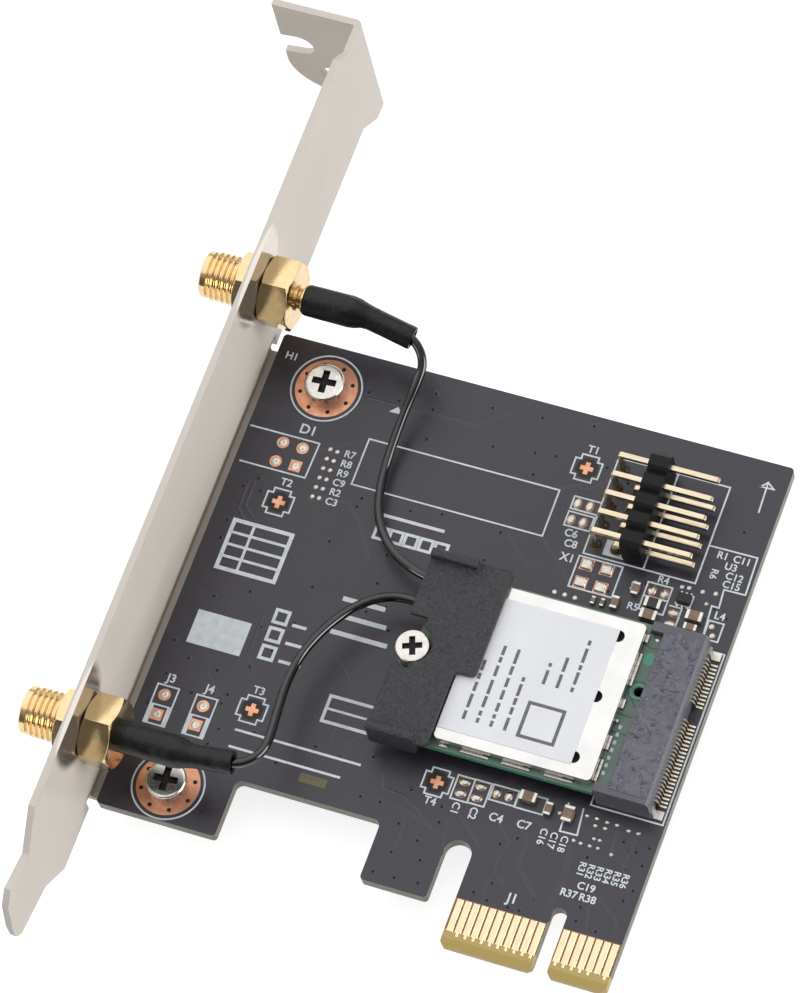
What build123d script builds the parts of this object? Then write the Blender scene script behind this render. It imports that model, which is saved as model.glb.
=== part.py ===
"""Wireless network expansion card: a carrier board with a slot bracket, a plug-in radio module,
two antenna jacks on short coax leads and a right-angle pin header.

Frame: the board lies flat in XY, component side up (+Z). X runs along the edge connector, away
from the bracket. Y runs up the board, away from the edge contacts. The origin is on the centre
line of the key notch, at the lower edge of the contact tab, on the component face.
"""

import math
import os

from build123d import *

os.makedirs("parts", exist_ok=True)

# Carrier board, millimetres
BOARD_T = 1.57
BOARD_LEFT = -56.95
BOARD_RIGHT = 8.15
BOARD_TOP = 68.9
LOBE_BOTTOM = 4.9
LOBE_RIGHT = -41.9
STEP_Y = 12.41
TAB_LEFT = -23.75
TAB_RIGHT = -15.5
CONTACT_LEFT = -12.15
SLOT_TOP = 12.8
KEY_W = 1.9
KEY_TOP = 8.25
BEVEL_Y = 1.0
BEVEL_Z = 0.36
SCREW_HOLE_R = 1.65
MOUNT_RING_R = 3.85
INNER_CORNER_R = 0.9
OUTER_CORNER_R = 0.5
TAB_CHAMFER = 0.5
COPPER_T = 0.04
EPS = 0.01

# Edge contacts: eleven on one side of the key notch, seven on the other
CONTACT_PITCH = 1.0
CONTACT_FIRST = -11.5
CONTACT_AFTER_KEY = 1.5
CONTACT_XS = [CONTACT_FIRST + i * CONTACT_PITCH for i in range(11)]
CONTACT_XS += [CONTACT_AFTER_KEY + i * CONTACT_PITCH for i in range(7)]
CONTACT_W = 0.7
CONTACT_TOP = 5.94
CONTACT_WIDE_END = 2.2
CONTACT_TIP_W = 0.3
CONTACT_TIP_END = 1.39
SHORT_CONTACTS = (0, 16)

# Slot bracket, folded from one sheet
SHEET_T = 0.86
STRIP_IN = -58.21
STRIP_OUT = STRIP_IN - SHEET_T
STRIP_W = 18.42
STRIP_Z0 = -BOARD_T - SHEET_T
STRIP_Z1 = STRIP_Z0 + STRIP_W
FOLD_Y = 104.82
FOLD_TOP = FOLD_Y + SHEET_T
FOLD_R = 0.8
EAR_Z = -6.0
EAR_Y0 = 99.3
EAR_Y1 = 102.9
NECK_Z = 13.5
NECK_Y0 = 98.4
NECK_Y1 = 100.9
TAPER_Y0 = -3.25
TAPER_Y1 = -3.0
TAB_OUT = -69.95
TAB_Z0 = -5.6
TAB_ROUND_R = 6.0
TAB_CORNER_R = 0.9
TAB_HOLE = (-64.2, -1.2)
TAB_HOLE_R = 1.5
TONGUE_TOP = -7.3
TONGUE_END = -14.34
TONGUE_Z0 = 1.6
TONGUE_Z1 = 11.6
TONGUE_LEAN = 5.0
TONGUE_LAP = 0.08
TONGUE_TIP_W = 2.5
TONGUE_CUT = 1.1
TONGUE_CUT_RISE = 0.9
TONGUE_SLOPE = 2.0
TONGUE_SLOPE_RISE = 2.4
SCREW_SLOT_W = 3.9
SCREW_SLOT_DEPTH = 4.2
SCREW_SLOT_Z = 4.2
SCREW_SLOT_TILT = 9.0
FLANGE_END = -45.4
FLANGE_HOLE_R = 1.5
FLANGE_CORNER_R = 1.5
RELIEF_W = 1.2
RELIEF_H = 1.7
JACK_HOLE_R = 3.16
FLANGES = ((5.9, 14.2), (58.2, 67.0))
MOUNT_X = -49.45
MOUNT_YS = (9.4, 63.3)

# Bracket screws
SCREW_HEAD_R = 2.5
SCREW_HEAD_H = 1.9
SCREW_SHANK_R = 1.42
SCREW_LENGTH = 5.0
SCREW_DOME_R = 0.7
RECESS_ARM = 2.7
RECESS_W = 0.62
RECESS_DEPTH = 1.0

# Antenna jacks, on axes along X
JACK_Z = 8.4
JACKS = {"upper": 70.2, "lower": 10.7}
BARREL_R = 3.0
BARREL_ROOT_R = 2.65
BARREL_TIP = -66.2
BARREL_CHAMFER = 0.25
BARREL_FREE_END = -61.8
BARREL_BORE_R = 2.3
BARREL_BORE_END = -60.5
HEX_AF = 7.9
HEX_TURNS = {"upper": -14.0, "lower": -21.0}
HEX_CHAMFER = 0.45
HEX_FACE_STEP = 0.1
JOIN_LAP = 0.2
HEX_END = -54.35
NECK_R = 1.6
GROOVE_R = 1.3
GROOVE_START = 0.2
GROOVE_SIDE = 0.15
GROOVE_W = 0.3
NECK_END = -53.3
TAIL_R = 1.45
TAIL_END = -47.8
WASHER_T = 0.5
WASHER_R = 4.2
NUT_T = 2.0
NUT_AF = 7.5
NUT_TURN = -8.0
NUT_CLEAR = 0.03
NUT_BORE_R = BARREL_ROOT_R + NUT_CLEAR
BUSH_R = 3.06
PIN_R = 0.46
PIN_POINT_R = 0.2
PIN_POINT_L = 0.3
SLIP = 0.02
INSULATOR_TIP = -64.2
CONTACT_TIP = -65.6

# Heat-shrink sleeves: shoulder, bend and small end of each centre line, as X and as steps in
# Y and Z from the jack's axis
SLEEVE_R = 1.95
SLEEVE_END_R = 1.45
SLEEVE_BORE_R = 1.47
SLEEVE_MOUTH_R = 0.98
SLEEVES = {
    "upper": ((-47.4, 0, 0), (-45.6, 0.05, -0.25), (-39.5, -0.7, -1.45)),
    "lower": ((-47.4, 0, 0), (-45.6, 0.05, 0.02), (-40.4, 0.55, 0.15)),
}

# Coax leads: hand-placed routes from the jack's tail to the plug on the module
LEAD_R = 0.565
LEAD_ROUTES = {
    "upper": (
        (-47.8, 70.2, 8.4),
        (-45.6, 70.22, 8.22),
        (-43.4, 70.0, 7.78),
        (-41.4, 69.77, 7.38),
        (-40.1, 69.6, 7.1),
        (-39.06, 69.13, 6.74),
        (-38.23, 68.38, 6.3),
        (-37.69, 67.42, 5.81),
        (-37.5, 66.34, 5.32),
        (-37.75, 64.5, 4.58),
        (-38.15, 62.2, 3.6),
        (-38.45, 59.2, 2.55),
        (-38.5, 55.7, 1.9),
        (-38.15, 52.1, 1.7),
        (-37.2, 48.8, 1.9),
        (-35.4, 45.9, 2.4),
        (-32.8, 43.55, 3.15),
        (-29.9, 42.15, 3.65),
        (-27.6, 41.63, 3.84),
        (-25.6, 41.5, 3.86),
    ),
    "lower": (
        (-47.8, 10.7, 8.4),
        (-45.8, 10.72, 8.44),
        (-43.8, 10.86, 8.49),
        (-41.8, 10.98, 8.54),
        (-40.42, 11.17, 8.56),
        (-39.32, 11.65, 8.52),
        (-38.44, 12.45, 8.42),
        (-37.85, 13.48, 8.27),
        (-37.6, 14.64, 8.08),
        (-37.75, 16.6, 7.74),
        (-38.2, 19.6, 7.1),
        (-38.65, 23.2, 6.5),
        (-38.5, 27.0, 5.9),
        (-37.5, 30.6, 5.38),
        (-35.8, 34.0, 4.9),
        (-33.8, 36.5, 4.5),
        (-31.5, 38.02, 4.15),
        (-29.4, 38.44, 3.94),
        (-27.5, 38.33, 3.87),
        (-25.6, 38.3, 3.86),
    ),
}
ARC_SHARE = 0.45

# Radio module
MODULE_T = 0.8
MODULE_Z = 2.2
MODULE_TOP = MODULE_Z + MODULE_T
MODULE_Y = 32.77
MODULE_W = 22.0
MODULE_Y0 = MODULE_Y - MODULE_W / 2
MODULE_Y1 = MODULE_Y + MODULE_W / 2
MODULE_X0 = -26.65
MODULE_X1 = 3.35
MODULE_SHOULDER = -0.65
MODULE_TONGUE_W = 19.85
MODULE_KEY_Y = 35.27
MODULE_KEY_W = 1.2
MODULE_KEY_DEPTH = 3.5
MODULE_NOTCH_R = 1.75
SHIELD_X0 = -20.4
SHIELD_X1 = -0.95
SHIELD_MARGIN_LOW = 0.73
SHIELD_MARGIN_HIGH = 0.77
SHIELD_Y0 = MODULE_Y0 + SHIELD_MARGIN_LOW
SHIELD_Y1 = MODULE_Y1 - SHIELD_MARGIN_HIGH
SHIELD_TOP = 4.5
SHIELD_WALL = 0.2
SHIELD_CORNER_R = 0.6
SHIELD_GAP_W = 2.2
SHIELD_GAP_H = 0.45
SHIELD_GAP_COUNT = 4
SHIELD_HOLE_STEP = 7.95
SHIELD_HOLES = [MODULE_Y + i * SHIELD_HOLE_STEP for i in (-1, 0, 1)]
SHIELD_HOLE_R = 0.75
LABEL_T = 0.08
LABEL_MARGIN = 0.1
LABEL_X1 = -3.8
LABEL_INSET_LOW = 1.35
LABEL_INSET_HIGH = 1.5
LABEL_Y0 = SHIELD_Y0 + LABEL_INSET_LOW
LABEL_Y1 = SHIELD_Y1 - LABEL_INSET_HIGH
RADIO_CHIP = (-9.5, 32.0)
RADIO_CHIP_SIZE = (9.0, 9.0, 0.85)
FRONT_END_CHIPS = ((-17.0, 28.0), (-17.0, 37.5))
FRONT_END_SIZE = (3.2, 3.2, 0.75)
CRYSTAL = (-9.5, 25.3)
CRYSTAL_SIZE = (2.5, 2.0, 0.6)
PLUG_INSET = 2.27
PLUG_PITCH = 3.2
PLUG_YS = {"upper": MODULE_Y1 - PLUG_INSET, "lower": MODULE_Y1 - PLUG_INSET - PLUG_PITCH}
PLUG_X = -22.9
PLUG_Z = 3.86
PLUG_BACK = -25.6
PLUG_R = 1.15
RING_R = 0.75
RING_TOP = 3.55
BASE_TOP = 3.25
RECEPTACLE_SIDE = 2.0
PLUG_ROOF = 0.4
PLUG_WALL = 0.03

# Module socket, standoff and screw
SOCKET_X0 = 1.1
SOCKET_X1 = 6.3
SOCKET_ARM_X = -0.45
SOCKET_ARM_W = 1.2
SOCKET_Y0 = MODULE_Y - MODULE_TONGUE_W / 2 - SOCKET_ARM_W
SOCKET_Y1 = MODULE_Y + MODULE_TONGUE_W / 2 + SOCKET_ARM_W
SOCKET_TOP = 4.2
SOCKET_CHAMFER = 0.35
SOCKET_END_GAP = 0.15
SOCKET_SIDE_GAP = 0.1
SOCKET_FACE_GAP = 0.05
PIN_PITCH = 0.5
PIN_W = 0.22
PIN_T = 0.15
FIRST_PIN_INSET = 1.875
FIRST_PIN_Y = SOCKET_Y1 - FIRST_PIN_INSET
KEY_PIN_GAP = 1.0
PIN_ROW = SOCKET_Y1 - SOCKET_Y0 - 2 * FIRST_PIN_INSET
PIN_YS = [FIRST_PIN_Y - i * PIN_PITCH for i in range(round(PIN_ROW // PIN_PITCH) + 1)]
REAR_PINS = [i for i, y in enumerate(PIN_YS) if abs(y - MODULE_KEY_Y) > KEY_PIN_GAP]
FRONT_PINS = REAR_PINS[:-1]
TAIL_X = 7.6
TAIL_TOP = 1.6
TAIL_KNEE = 0.15
TAIL_FOOT = 0.45
TAIL_SKEW = 0.12
FRONT_TAIL_L = 1.0
ANCHOR_INSET = 0.7
ANCHOR_FOOT = (1.1, 0.2)
ANCHOR_POST = (0.25, 0.9, 1.5)
FILM_T = 0.08
FILM_MARGIN_X = 0.25
FILM_MARGIN_Y = 0.75
FILM_SHIFT = 0.12
STANDOFF_R = 2.1
STANDOFF_FOOT_R = 1.45
STANDOFF_HOLE_R = 1.5
STANDOFF_BORE_R = 1.0
MODULE_SCREW_R = 2.12
MODULE_SCREW_H = 1.35
MODULE_SCREW_RIM_R = 0.3
MODULE_SCREW_SHANK_R = 0.95
MODULE_SCREW_LENGTH = 2.6
MODULE_RECESS = (2.1, 0.5)
MODULE_RECESS_DEPTH = 0.7
MODULE_RECESS_TURN = 20

# Antenna clip over the module's plugs
CLIP_X0 = -28.1
CLIP_STEP_X = -20.5
CLIP_X1 = -17.95
CLIP_OVERHANG = 0.975
CLIP_Y0 = MODULE_Y0 - CLIP_OVERHANG
CLIP_Y1 = MODULE_Y1 + CLIP_OVERHANG
CLIP_STEP_Y = 30.7
CLIP_Z = 4.6
CLIP_TOP = 5.3
CLIP_RIB_TOP = 6.3
CLIP_RIB_W = 1.15
CLIP_RIB_X1 = -22.2
CLIP_WALL = 0.85
CLIP_HOOK = 0.4
CLIP_HOOK_T = 0.3
CLIP_HOOK_DROP = 0.35
CLIP_CORNER_R = 0.7
CLIP_RIB_ROUND_R = 0.35
CLIP_NOTCH_Y0 = 29.6
CLIP_NOTCH_Y1 = 36.3
CLIP_NOTCH_X = -25.8
CLIP_SCREW_CLEAR = 2.55

# Right-angle pin header, two rows on a 2.54 pitch
HEADER_PITCH = 2.54
HEADER_TOP_Y = 63.1
HEADER_YS = [HEADER_TOP_Y - i * HEADER_PITCH for i in range(5)]
LOWER_ROW_YS = HEADER_YS[1:]
HEADER_X0 = -7.55
HEADER_X1 = -5.01
HEADER_Z0 = 0.28
HEADER_Z1 = 5.36
HEADER_CORNER = 0.6
UPPER_ROW_Z = 4.09
LOWER_ROW_Z = 1.55
UPPER_LEG_X = -11.3
LOWER_LEG_X = -8.76
PIN_TIP_X = 1.15
PIN_SIDE = 0.64
PIN_TAIL_Z = -3.0
PIN_HOLE_R = 0.5
PIN_BEND_R = 0.5
PIN_END_L = 0.3
PIN_END_IN = 0.18

# Small surface parts: centre, case and the axis that their length follows
CASES = {
    "large": (2.0, 1.25, 1.0, 0.42),
    "medium": (1.6, 0.85, 0.8, 0.35),
    "small": (1.0, 0.5, 0.5, 0.25),
}
RESISTOR_HEIGHT_SHARE = 0.6
CAPACITORS = (
    (-4.8, 48.65, "medium", "y"),
    (-2.25, 45.8, "large", "x"),
    (3.0, 47.15, "large", "x"),
    (2.95, 45.72, "medium", "x"),
    (-6.6, 46.25, "medium", "y"),
    (-8.05, 45.9, "small", "y"),
    (-9.2, 45.88, "small", "y"),
    (-8.1, 20.0, "large", "x"),
    (-5.4, 19.3, "medium", "y"),
    (-2.95, 19.3, "large", "y"),
)
RESISTORS = ((-2.3, 47.5, "large", "x"),)
PADS = (
    (-15.13, 57.35, 0.85, 1.15),
    (-13.6, 57.35, 0.85, 1.15),
    (-15.2, 55.15, 0.85, 1.15),
    (-13.7, 55.15, 0.85, 1.15),
    (-11.45, 50.1, 1.5, 1.35),
    (-8.95, 50.1, 1.5, 1.35),
    (-11.45, 47.75, 1.5, 1.35),
    (-8.95, 47.75, 1.5, 1.35),
    (-2.96, 49.15, 0.85, 1.15),
    (-1.42, 49.15, 0.85, 1.15),
    (0.44, 47.1, 1.2, 0.85),
    (0.44, 45.6, 1.2, 0.85),
    (-16.0, 19.85, 1.2, 0.85),
    (-16.0, 18.35, 1.2, 0.85),
    (-14.0, 19.85, 1.2, 0.85),
    (-14.0, 18.35, 1.2, 0.85),
    (-11.95, 19.65, 0.85, 1.15),
    (-10.45, 19.65, 0.85, 1.15),
)
PAD_T = 0.1
REGULATOR = (1.1, 49.0)
REGULATOR_SIZE = (1.7, 1.15, 0.85)
REGULATOR_LIFT = 0.1
REGULATOR_LEAD = (0.28, 0.44, 0.22)
REGULATOR_PITCH = 0.6
LOW = (Align.CENTER, Align.CENTER, Align.MIN)
HIGH = (Align.CENTER, Align.CENTER, Align.MAX)


def save(piece: BuildPart, name: str) -> None:
    """Label a finished piece and write it to its own STEP file."""
    piece.part.label = name
    export_step(piece.part, f"parts/{name}.step")


def x_axis_at(y: float, z: float) -> Axis:
    """Return the line along X through a point of the YZ plane."""
    return Axis((0, y, z), (1, 0, 0))


def turned_plane(y: float) -> Plane:
    """Return the plane that holds a jack's half profile, with its axis as local X."""
    return Plane(origin=(0, y, JACK_Z), x_dir=(1, 0, 0), z_dir=(0, 0, 1))


def turned(along_part: float, across_part: float, along: str) -> tuple[float, float]:
    """Return X and Y from values along and across a chip's length."""
    return (along_part, across_part) if along == "x" else (across_part, along_part)


# Carrier board with its stepped lower edge, contact tab, bevel and drilled holes
with BuildPart() as carrier_board:
    with BuildSketch():
        with BuildLine():
            Polyline(
                (BOARD_LEFT, BOARD_TOP),
                (BOARD_RIGHT, BOARD_TOP),
                (BOARD_RIGHT, 0),
                (CONTACT_LEFT, 0),
                (CONTACT_LEFT, LOBE_BOTTOM),
                (TAB_LEFT, LOBE_BOTTOM),
                (TAB_LEFT, STEP_Y),
                (LOBE_RIGHT, STEP_Y),
                (LOBE_RIGHT, LOBE_BOTTOM),
                (BOARD_LEFT, LOBE_BOTTOM),
                close=True,
            )
        make_face()
        slot_w = CONTACT_LEFT - TAB_RIGHT
        slot_x = (CONTACT_LEFT + TAB_RIGHT) / 2
        for notch_x, notch_w, notch_top in ((slot_x, slot_w, SLOT_TOP), (0, KEY_W, KEY_TOP)):
            round_y = notch_top - notch_w / 2
            with Locations((notch_x, round_y / 2)):
                Rectangle(notch_w, round_y, mode=Mode.SUBTRACT)
            with Locations((notch_x, round_y)):
                Circle(notch_w / 2, mode=Mode.SUBTRACT)
        fillet([v for v in vertices() if abs(v.Y - STEP_Y) < EPS], INNER_CORNER_R)
        lobe_corners = [v for v in vertices() if abs(v.Y - LOBE_BOTTOM) < EPS]
        top_corners = [v for v in vertices() if v.Y > BOARD_TOP - EPS]
        fillet(lobe_corners + top_corners, OUTER_CORNER_R)
        chamfer([v for v in vertices() if v.Y < EPS], TAB_CHAMFER)
    extrude(amount=-BOARD_T)
    with BuildSketch(Plane.YZ.offset(CONTACT_LEFT)):
        for face_z, outward in ((0, 1), (-BOARD_T, -1)):
            Polygon(
                (BEVEL_Y, face_z),
                (-BEVEL_Y, face_z - outward * 2 * BEVEL_Z),
                (-BEVEL_Y, face_z + outward * BEVEL_Z),
                (BEVEL_Y, face_z + outward * BEVEL_Z),
                align=None,
            )
    extrude(amount=BOARD_RIGHT - CONTACT_LEFT, mode=Mode.SUBTRACT)
    with Locations(*[(MOUNT_X, y, 0) for y in MOUNT_YS]):
        Hole(SCREW_HOLE_R)
    for leg_x, leg_ys in ((UPPER_LEG_X, HEADER_YS), (LOWER_LEG_X, LOWER_ROW_YS)):
        with Locations(*[(leg_x, y, 0) for y in leg_ys]):
            Hole(PIN_HOLE_R)
    with Locations((MODULE_X0, MODULE_Y, 0)):
        Hole(STANDOFF_HOLE_R)
save(carrier_board, "carrier_board")

# Gold edge contacts on both faces of the contact tab
for side, contact_z in (("front", 0), ("back", -BOARD_T - COPPER_T)):
    with BuildPart() as edge_contacts:
        with BuildSketch(Plane.XY.offset(contact_z)):
            for index, contact_x in enumerate(CONTACT_XS):
                wide = CONTACT_TOP - CONTACT_WIDE_END
                with Locations((contact_x, CONTACT_WIDE_END + wide / 2)):
                    Rectangle(CONTACT_W, wide)
                if index not in SHORT_CONTACTS:
                    with Locations((contact_x, (CONTACT_WIDE_END + CONTACT_TIP_END) / 2)):
                        Rectangle(CONTACT_TIP_W, CONTACT_WIDE_END - CONTACT_TIP_END)
        extrude(amount=COPPER_T)
    save(edge_contacts, f"edge_contacts_{side}")

# Bare copper ring under each bracket screw
with BuildPart() as mounting_pads:
    with BuildSketch():
        with Locations(*[(MOUNT_X, y) for y in MOUNT_YS]):
            Circle(MOUNT_RING_R)
            Circle(SCREW_HOLE_R, mode=Mode.SUBTRACT)
    extrude(amount=COPPER_T)
save(mounting_pads, "mounting_pads")

# Slot bracket: strip, leaning tongue, folded screw tab and two flanges behind the board
with BuildPart() as bracket:
    with BuildSketch(Plane.YZ.offset(STRIP_OUT)):
        Polygon(
            (TONGUE_TOP, TONGUE_Z0),
            (TAPER_Y0, STRIP_Z0),
            (EAR_Y0, STRIP_Z0),
            (EAR_Y1, EAR_Z),
            (FOLD_TOP, EAR_Z),
            (FOLD_TOP, NECK_Z),
            (NECK_Y1, NECK_Z),
            (NECK_Y0, STRIP_Z1),
            (TAPER_Y1, STRIP_Z1),
            (TONGUE_TOP, TONGUE_Z1),
            align=None,
        )
        with Locations(*[(y, JACK_Z) for y in JACKS.values()]):
            Circle(JACK_HOLE_R, mode=Mode.SUBTRACT)
        relief_ys = (FLANGES[0][0] - RELIEF_W / 2, FLANGES[1][1] + RELIEF_W / 2)
        with Locations(*[(y, STRIP_Z0) for y in relief_ys]):
            Rectangle(RELIEF_W, 2 * RELIEF_H, mode=Mode.SUBTRACT)
    extrude(amount=SHEET_T)
    lean = math.radians(TONGUE_LEAN)
    tongue_plane = Plane(
        origin=(STRIP_OUT, TONGUE_TOP, 0),
        x_dir=(math.sin(lean), math.cos(lean), 0),
        z_dir=(math.cos(lean), -math.sin(lean), 0),
    )
    tongue_length = (TONGUE_TOP - TONGUE_END) / math.cos(lean)
    with BuildSketch(tongue_plane):
        with BuildLine():
            Polyline(
                (TONGUE_LAP, TONGUE_Z0),
                (-tongue_length + TONGUE_CUT_RISE, TONGUE_Z0),
                (-tongue_length, TONGUE_Z0 + TONGUE_CUT),
                (-tongue_length, TONGUE_Z0 + TONGUE_CUT + TONGUE_TIP_W),
                (-tongue_length + TONGUE_CUT_RISE, TONGUE_Z1 - TONGUE_SLOPE),
                (-tongue_length + TONGUE_SLOPE_RISE, TONGUE_Z1),
                (TONGUE_LAP, TONGUE_Z1),
                close=True,
            )
        make_face()
    extrude(amount=SHEET_T)
    with BuildSketch(Plane.XZ.offset(-FOLD_Y)):
        with BuildLine():
            Polyline(
                (STRIP_IN, NECK_Z),
                (TAB_OUT, NECK_Z),
                (TAB_OUT, TAB_Z0),
                (STRIP_IN, TAB_Z0),
                close=True,
            )
        make_face()
        tab_corners = [v for v in vertices() if v.X < TAB_OUT + EPS]
        fillet([v for v in tab_corners if v.Y < 0], TAB_ROUND_R)
        fillet([v for v in tab_corners if v.Y > 0], TAB_CORNER_R)
        with Locations(Location((TAB_OUT, SCREW_SLOT_Z), SCREW_SLOT_TILT)):
            slot_run = 2 * SCREW_SLOT_DEPTH - SCREW_SLOT_W
            SlotCenterToCenter(slot_run, SCREW_SLOT_W, mode=Mode.SUBTRACT)
        with Locations(TAB_HOLE):
            Circle(TAB_HOLE_R, mode=Mode.SUBTRACT)
    extrude(amount=-SHEET_T)
    for flange_y0, flange_y1 in FLANGES:
        with BuildSketch(Plane.XY.offset(STRIP_Z0)):
            with Locations(((STRIP_IN + FLANGE_END) / 2, (flange_y0 + flange_y1) / 2)):
                Rectangle(FLANGE_END - STRIP_IN, flange_y1 - flange_y0)
            fillet([v for v in vertices() if v.X > FLANGE_END - EPS], FLANGE_CORNER_R)
            with Locations(*[(MOUNT_X, y) for y in MOUNT_YS if flange_y0 < y < flange_y1]):
                Circle(FLANGE_HOLE_R, mode=Mode.SUBTRACT)
        extrude(amount=SHEET_T)
    fold_edges = bracket.edges().filter_by(Axis.Z).group_by(Axis.Y)[-1]
    fillet(fold_edges.sort_by(Axis.X)[-1], FOLD_R)
save(bracket, "bracket")

# Two cross-recess screws that hold the board to the bracket's flanges
with BuildPart() as bracket_screws:
    for screw_y in MOUNT_YS:
        with BuildSketch(Plane.XY.offset(COPPER_T)):
            with Locations((MOUNT_X, screw_y)):
                Circle(SCREW_HEAD_R)
        extrude(amount=SCREW_HEAD_H)
    rims = bracket_screws.edges().filter_by(GeomType.CIRCLE).group_by(Axis.Z)[-1]
    fillet(rims, SCREW_DOME_R)
    for screw_y in MOUNT_YS:
        with BuildSketch(Plane.XY.offset(COPPER_T)):
            with Locations((MOUNT_X, screw_y)):
                Circle(SCREW_SHANK_R)
        extrude(amount=-SCREW_LENGTH)
        with BuildSketch(Plane.XY.offset(COPPER_T + SCREW_HEAD_H)):
            with Locations((MOUNT_X, screw_y)):
                Rectangle(RECESS_ARM, RECESS_W)
                Rectangle(RECESS_W, RECESS_ARM)
        extrude(amount=-RECESS_DEPTH, mode=Mode.SUBTRACT)
save(bracket_screws, "bracket_screws")

# Antenna jacks with their insulators, centre contacts, washers and nuts
hex_corner_r = HEX_AF / math.sqrt(3)
nut_corner_r = NUT_AF / math.sqrt(3)
groove_x = HEX_END + GROOVE_START + GROOVE_SIDE
for jack, jack_y in JACKS.items():
    jack_axis = x_axis_at(jack_y, JACK_Z)
    with BuildPart() as jack_body:
        with BuildSketch(Plane.YZ.offset(STRIP_IN)):
            with Locations((jack_y, JACK_Z)):
                RegularPolygon(hex_corner_r, 6, rotation=HEX_TURNS[jack])
        extrude(amount=HEX_END - STRIP_IN)
        with BuildSketch(turned_plane(jack_y)):
            Polygon(
                (STRIP_IN, 0),
                (STRIP_IN, HEX_AF / 2 - HEX_FACE_STEP),
                (STRIP_IN + HEX_CHAMFER, hex_corner_r + HEX_FACE_STEP),
                (HEX_END - HEX_CHAMFER, hex_corner_r + HEX_FACE_STEP),
                (HEX_END, HEX_AF / 2 - HEX_FACE_STEP),
                (HEX_END, 0),
                align=None,
            )
        revolve(axis=jack_axis, mode=Mode.INTERSECT)
        with BuildSketch(turned_plane(jack_y)):
            Polygon(
                (BARREL_TIP, BARREL_BORE_R),
                (BARREL_TIP, BARREL_R - BARREL_CHAMFER),
                (BARREL_TIP + BARREL_CHAMFER, BARREL_R),
                (BARREL_FREE_END, BARREL_R),
                (BARREL_FREE_END, BARREL_ROOT_R),
                (STRIP_IN + JOIN_LAP, BARREL_ROOT_R),
                (STRIP_IN + JOIN_LAP, 0),
                (BARREL_BORE_END, 0),
                (BARREL_BORE_END, BARREL_BORE_R),
                align=None,
            )
        revolve(axis=jack_axis)
        with BuildSketch(turned_plane(jack_y)):
            Polygon(
                (HEX_END - JOIN_LAP, 0),
                (HEX_END - JOIN_LAP, NECK_R),
                (groove_x - GROOVE_SIDE, NECK_R),
                (groove_x, GROOVE_R),
                (groove_x + GROOVE_W, GROOVE_R),
                (groove_x + GROOVE_W + GROOVE_SIDE, NECK_R),
                (NECK_END, NECK_R),
                (NECK_END, TAIL_R),
                (TAIL_END, TAIL_R),
                (TAIL_END, 0),
                align=None,
            )
        revolve(axis=jack_axis)
    save(jack_body, f"{jack}_jack_body")

    with BuildPart() as insulator:
        with BuildSketch(turned_plane(jack_y)):
            Polygon(
                (BARREL_BORE_END, PIN_R),
                (BARREL_BORE_END, BARREL_BORE_R - SLIP),
                (INSULATOR_TIP, BARREL_BORE_R - SLIP),
                (INSULATOR_TIP, PIN_R),
                align=None,
            )
        revolve(axis=jack_axis)
    save(insulator, f"{jack}_jack_insulator")

    with BuildPart() as centre_pin:
        with BuildSketch(turned_plane(jack_y)):
            Polygon(
                (BARREL_BORE_END, 0),
                (BARREL_BORE_END, PIN_R - SLIP / 2),
                (CONTACT_TIP + PIN_POINT_L, PIN_R - SLIP / 2),
                (CONTACT_TIP, PIN_POINT_R),
                (CONTACT_TIP, 0),
                align=None,
            )
        revolve(axis=jack_axis)
    save(centre_pin, f"{jack}_jack_pin")

    with BuildPart() as lock_washer:
        with BuildSketch(Plane.YZ.offset(STRIP_OUT - WASHER_T)):
            with Locations((jack_y, JACK_Z)):
                Circle(WASHER_R)
                Circle(BUSH_R, mode=Mode.SUBTRACT)
        extrude(amount=WASHER_T)
    save(lock_washer, f"{jack}_jack_washer")

    nut_back = STRIP_OUT - WASHER_T
    with BuildPart() as jack_nut:
        with BuildSketch(Plane.YZ.offset(nut_back - NUT_T)):
            with Locations((jack_y, JACK_Z)):
                RegularPolygon(nut_corner_r, 6, rotation=NUT_TURN)
        extrude(amount=NUT_T)
        with BuildSketch(turned_plane(jack_y)):
            Polygon(
                (nut_back, NUT_BORE_R),
                (nut_back, nut_corner_r + HEX_FACE_STEP),
                (nut_back - NUT_T + HEX_CHAMFER, nut_corner_r + HEX_FACE_STEP),
                (nut_back - NUT_T, NUT_AF / 2 - HEX_FACE_STEP),
                (nut_back - NUT_T, NUT_BORE_R),
                align=None,
            )
        revolve(axis=jack_axis, mode=Mode.INTERSECT)
    save(jack_nut, f"{jack}_jack_nut")

# Heat-shrink sleeves: a wide part over the jack's tail, a shoulder and a narrow part over the lead
for jack, stations in SLEEVES.items():
    start = Vector(NECK_END, JACKS[jack], JACK_Z)
    shoulder, bend, mouth = [Vector(x, JACKS[jack] + dy, JACK_Z + dz) for x, dy, dz in stations]
    wide_dir = (shoulder - start).normalized()
    narrow_dir = (mouth - bend).normalized()
    sections = (
        (Plane(origin=start, z_dir=wide_dir), (shoulder - start).length),
        (Plane(origin=bend, z_dir=narrow_dir), (mouth - bend).length),
    )
    shoulder_plane = Plane(origin=shoulder, z_dir=wide_dir)
    with BuildPart() as sleeve:
        bores = ((SLEEVE_R, SLEEVE_END_R, Mode.ADD), (SLEEVE_BORE_R, SLEEVE_MOUTH_R, Mode.SUBTRACT))
        for wide_r, narrow_r, mode in bores:
            for (plane, length), radius in zip(sections, (wide_r, narrow_r)):
                with BuildSketch(plane):
                    Circle(radius)
                extrude(amount=length, mode=mode)
            with BuildSketch(shoulder_plane):
                Circle(wide_r)
            with BuildSketch(sections[1][0]):
                Circle(narrow_r)
            loft(mode=mode)
    save(sleeve, f"{jack}_sleeve")

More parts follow.
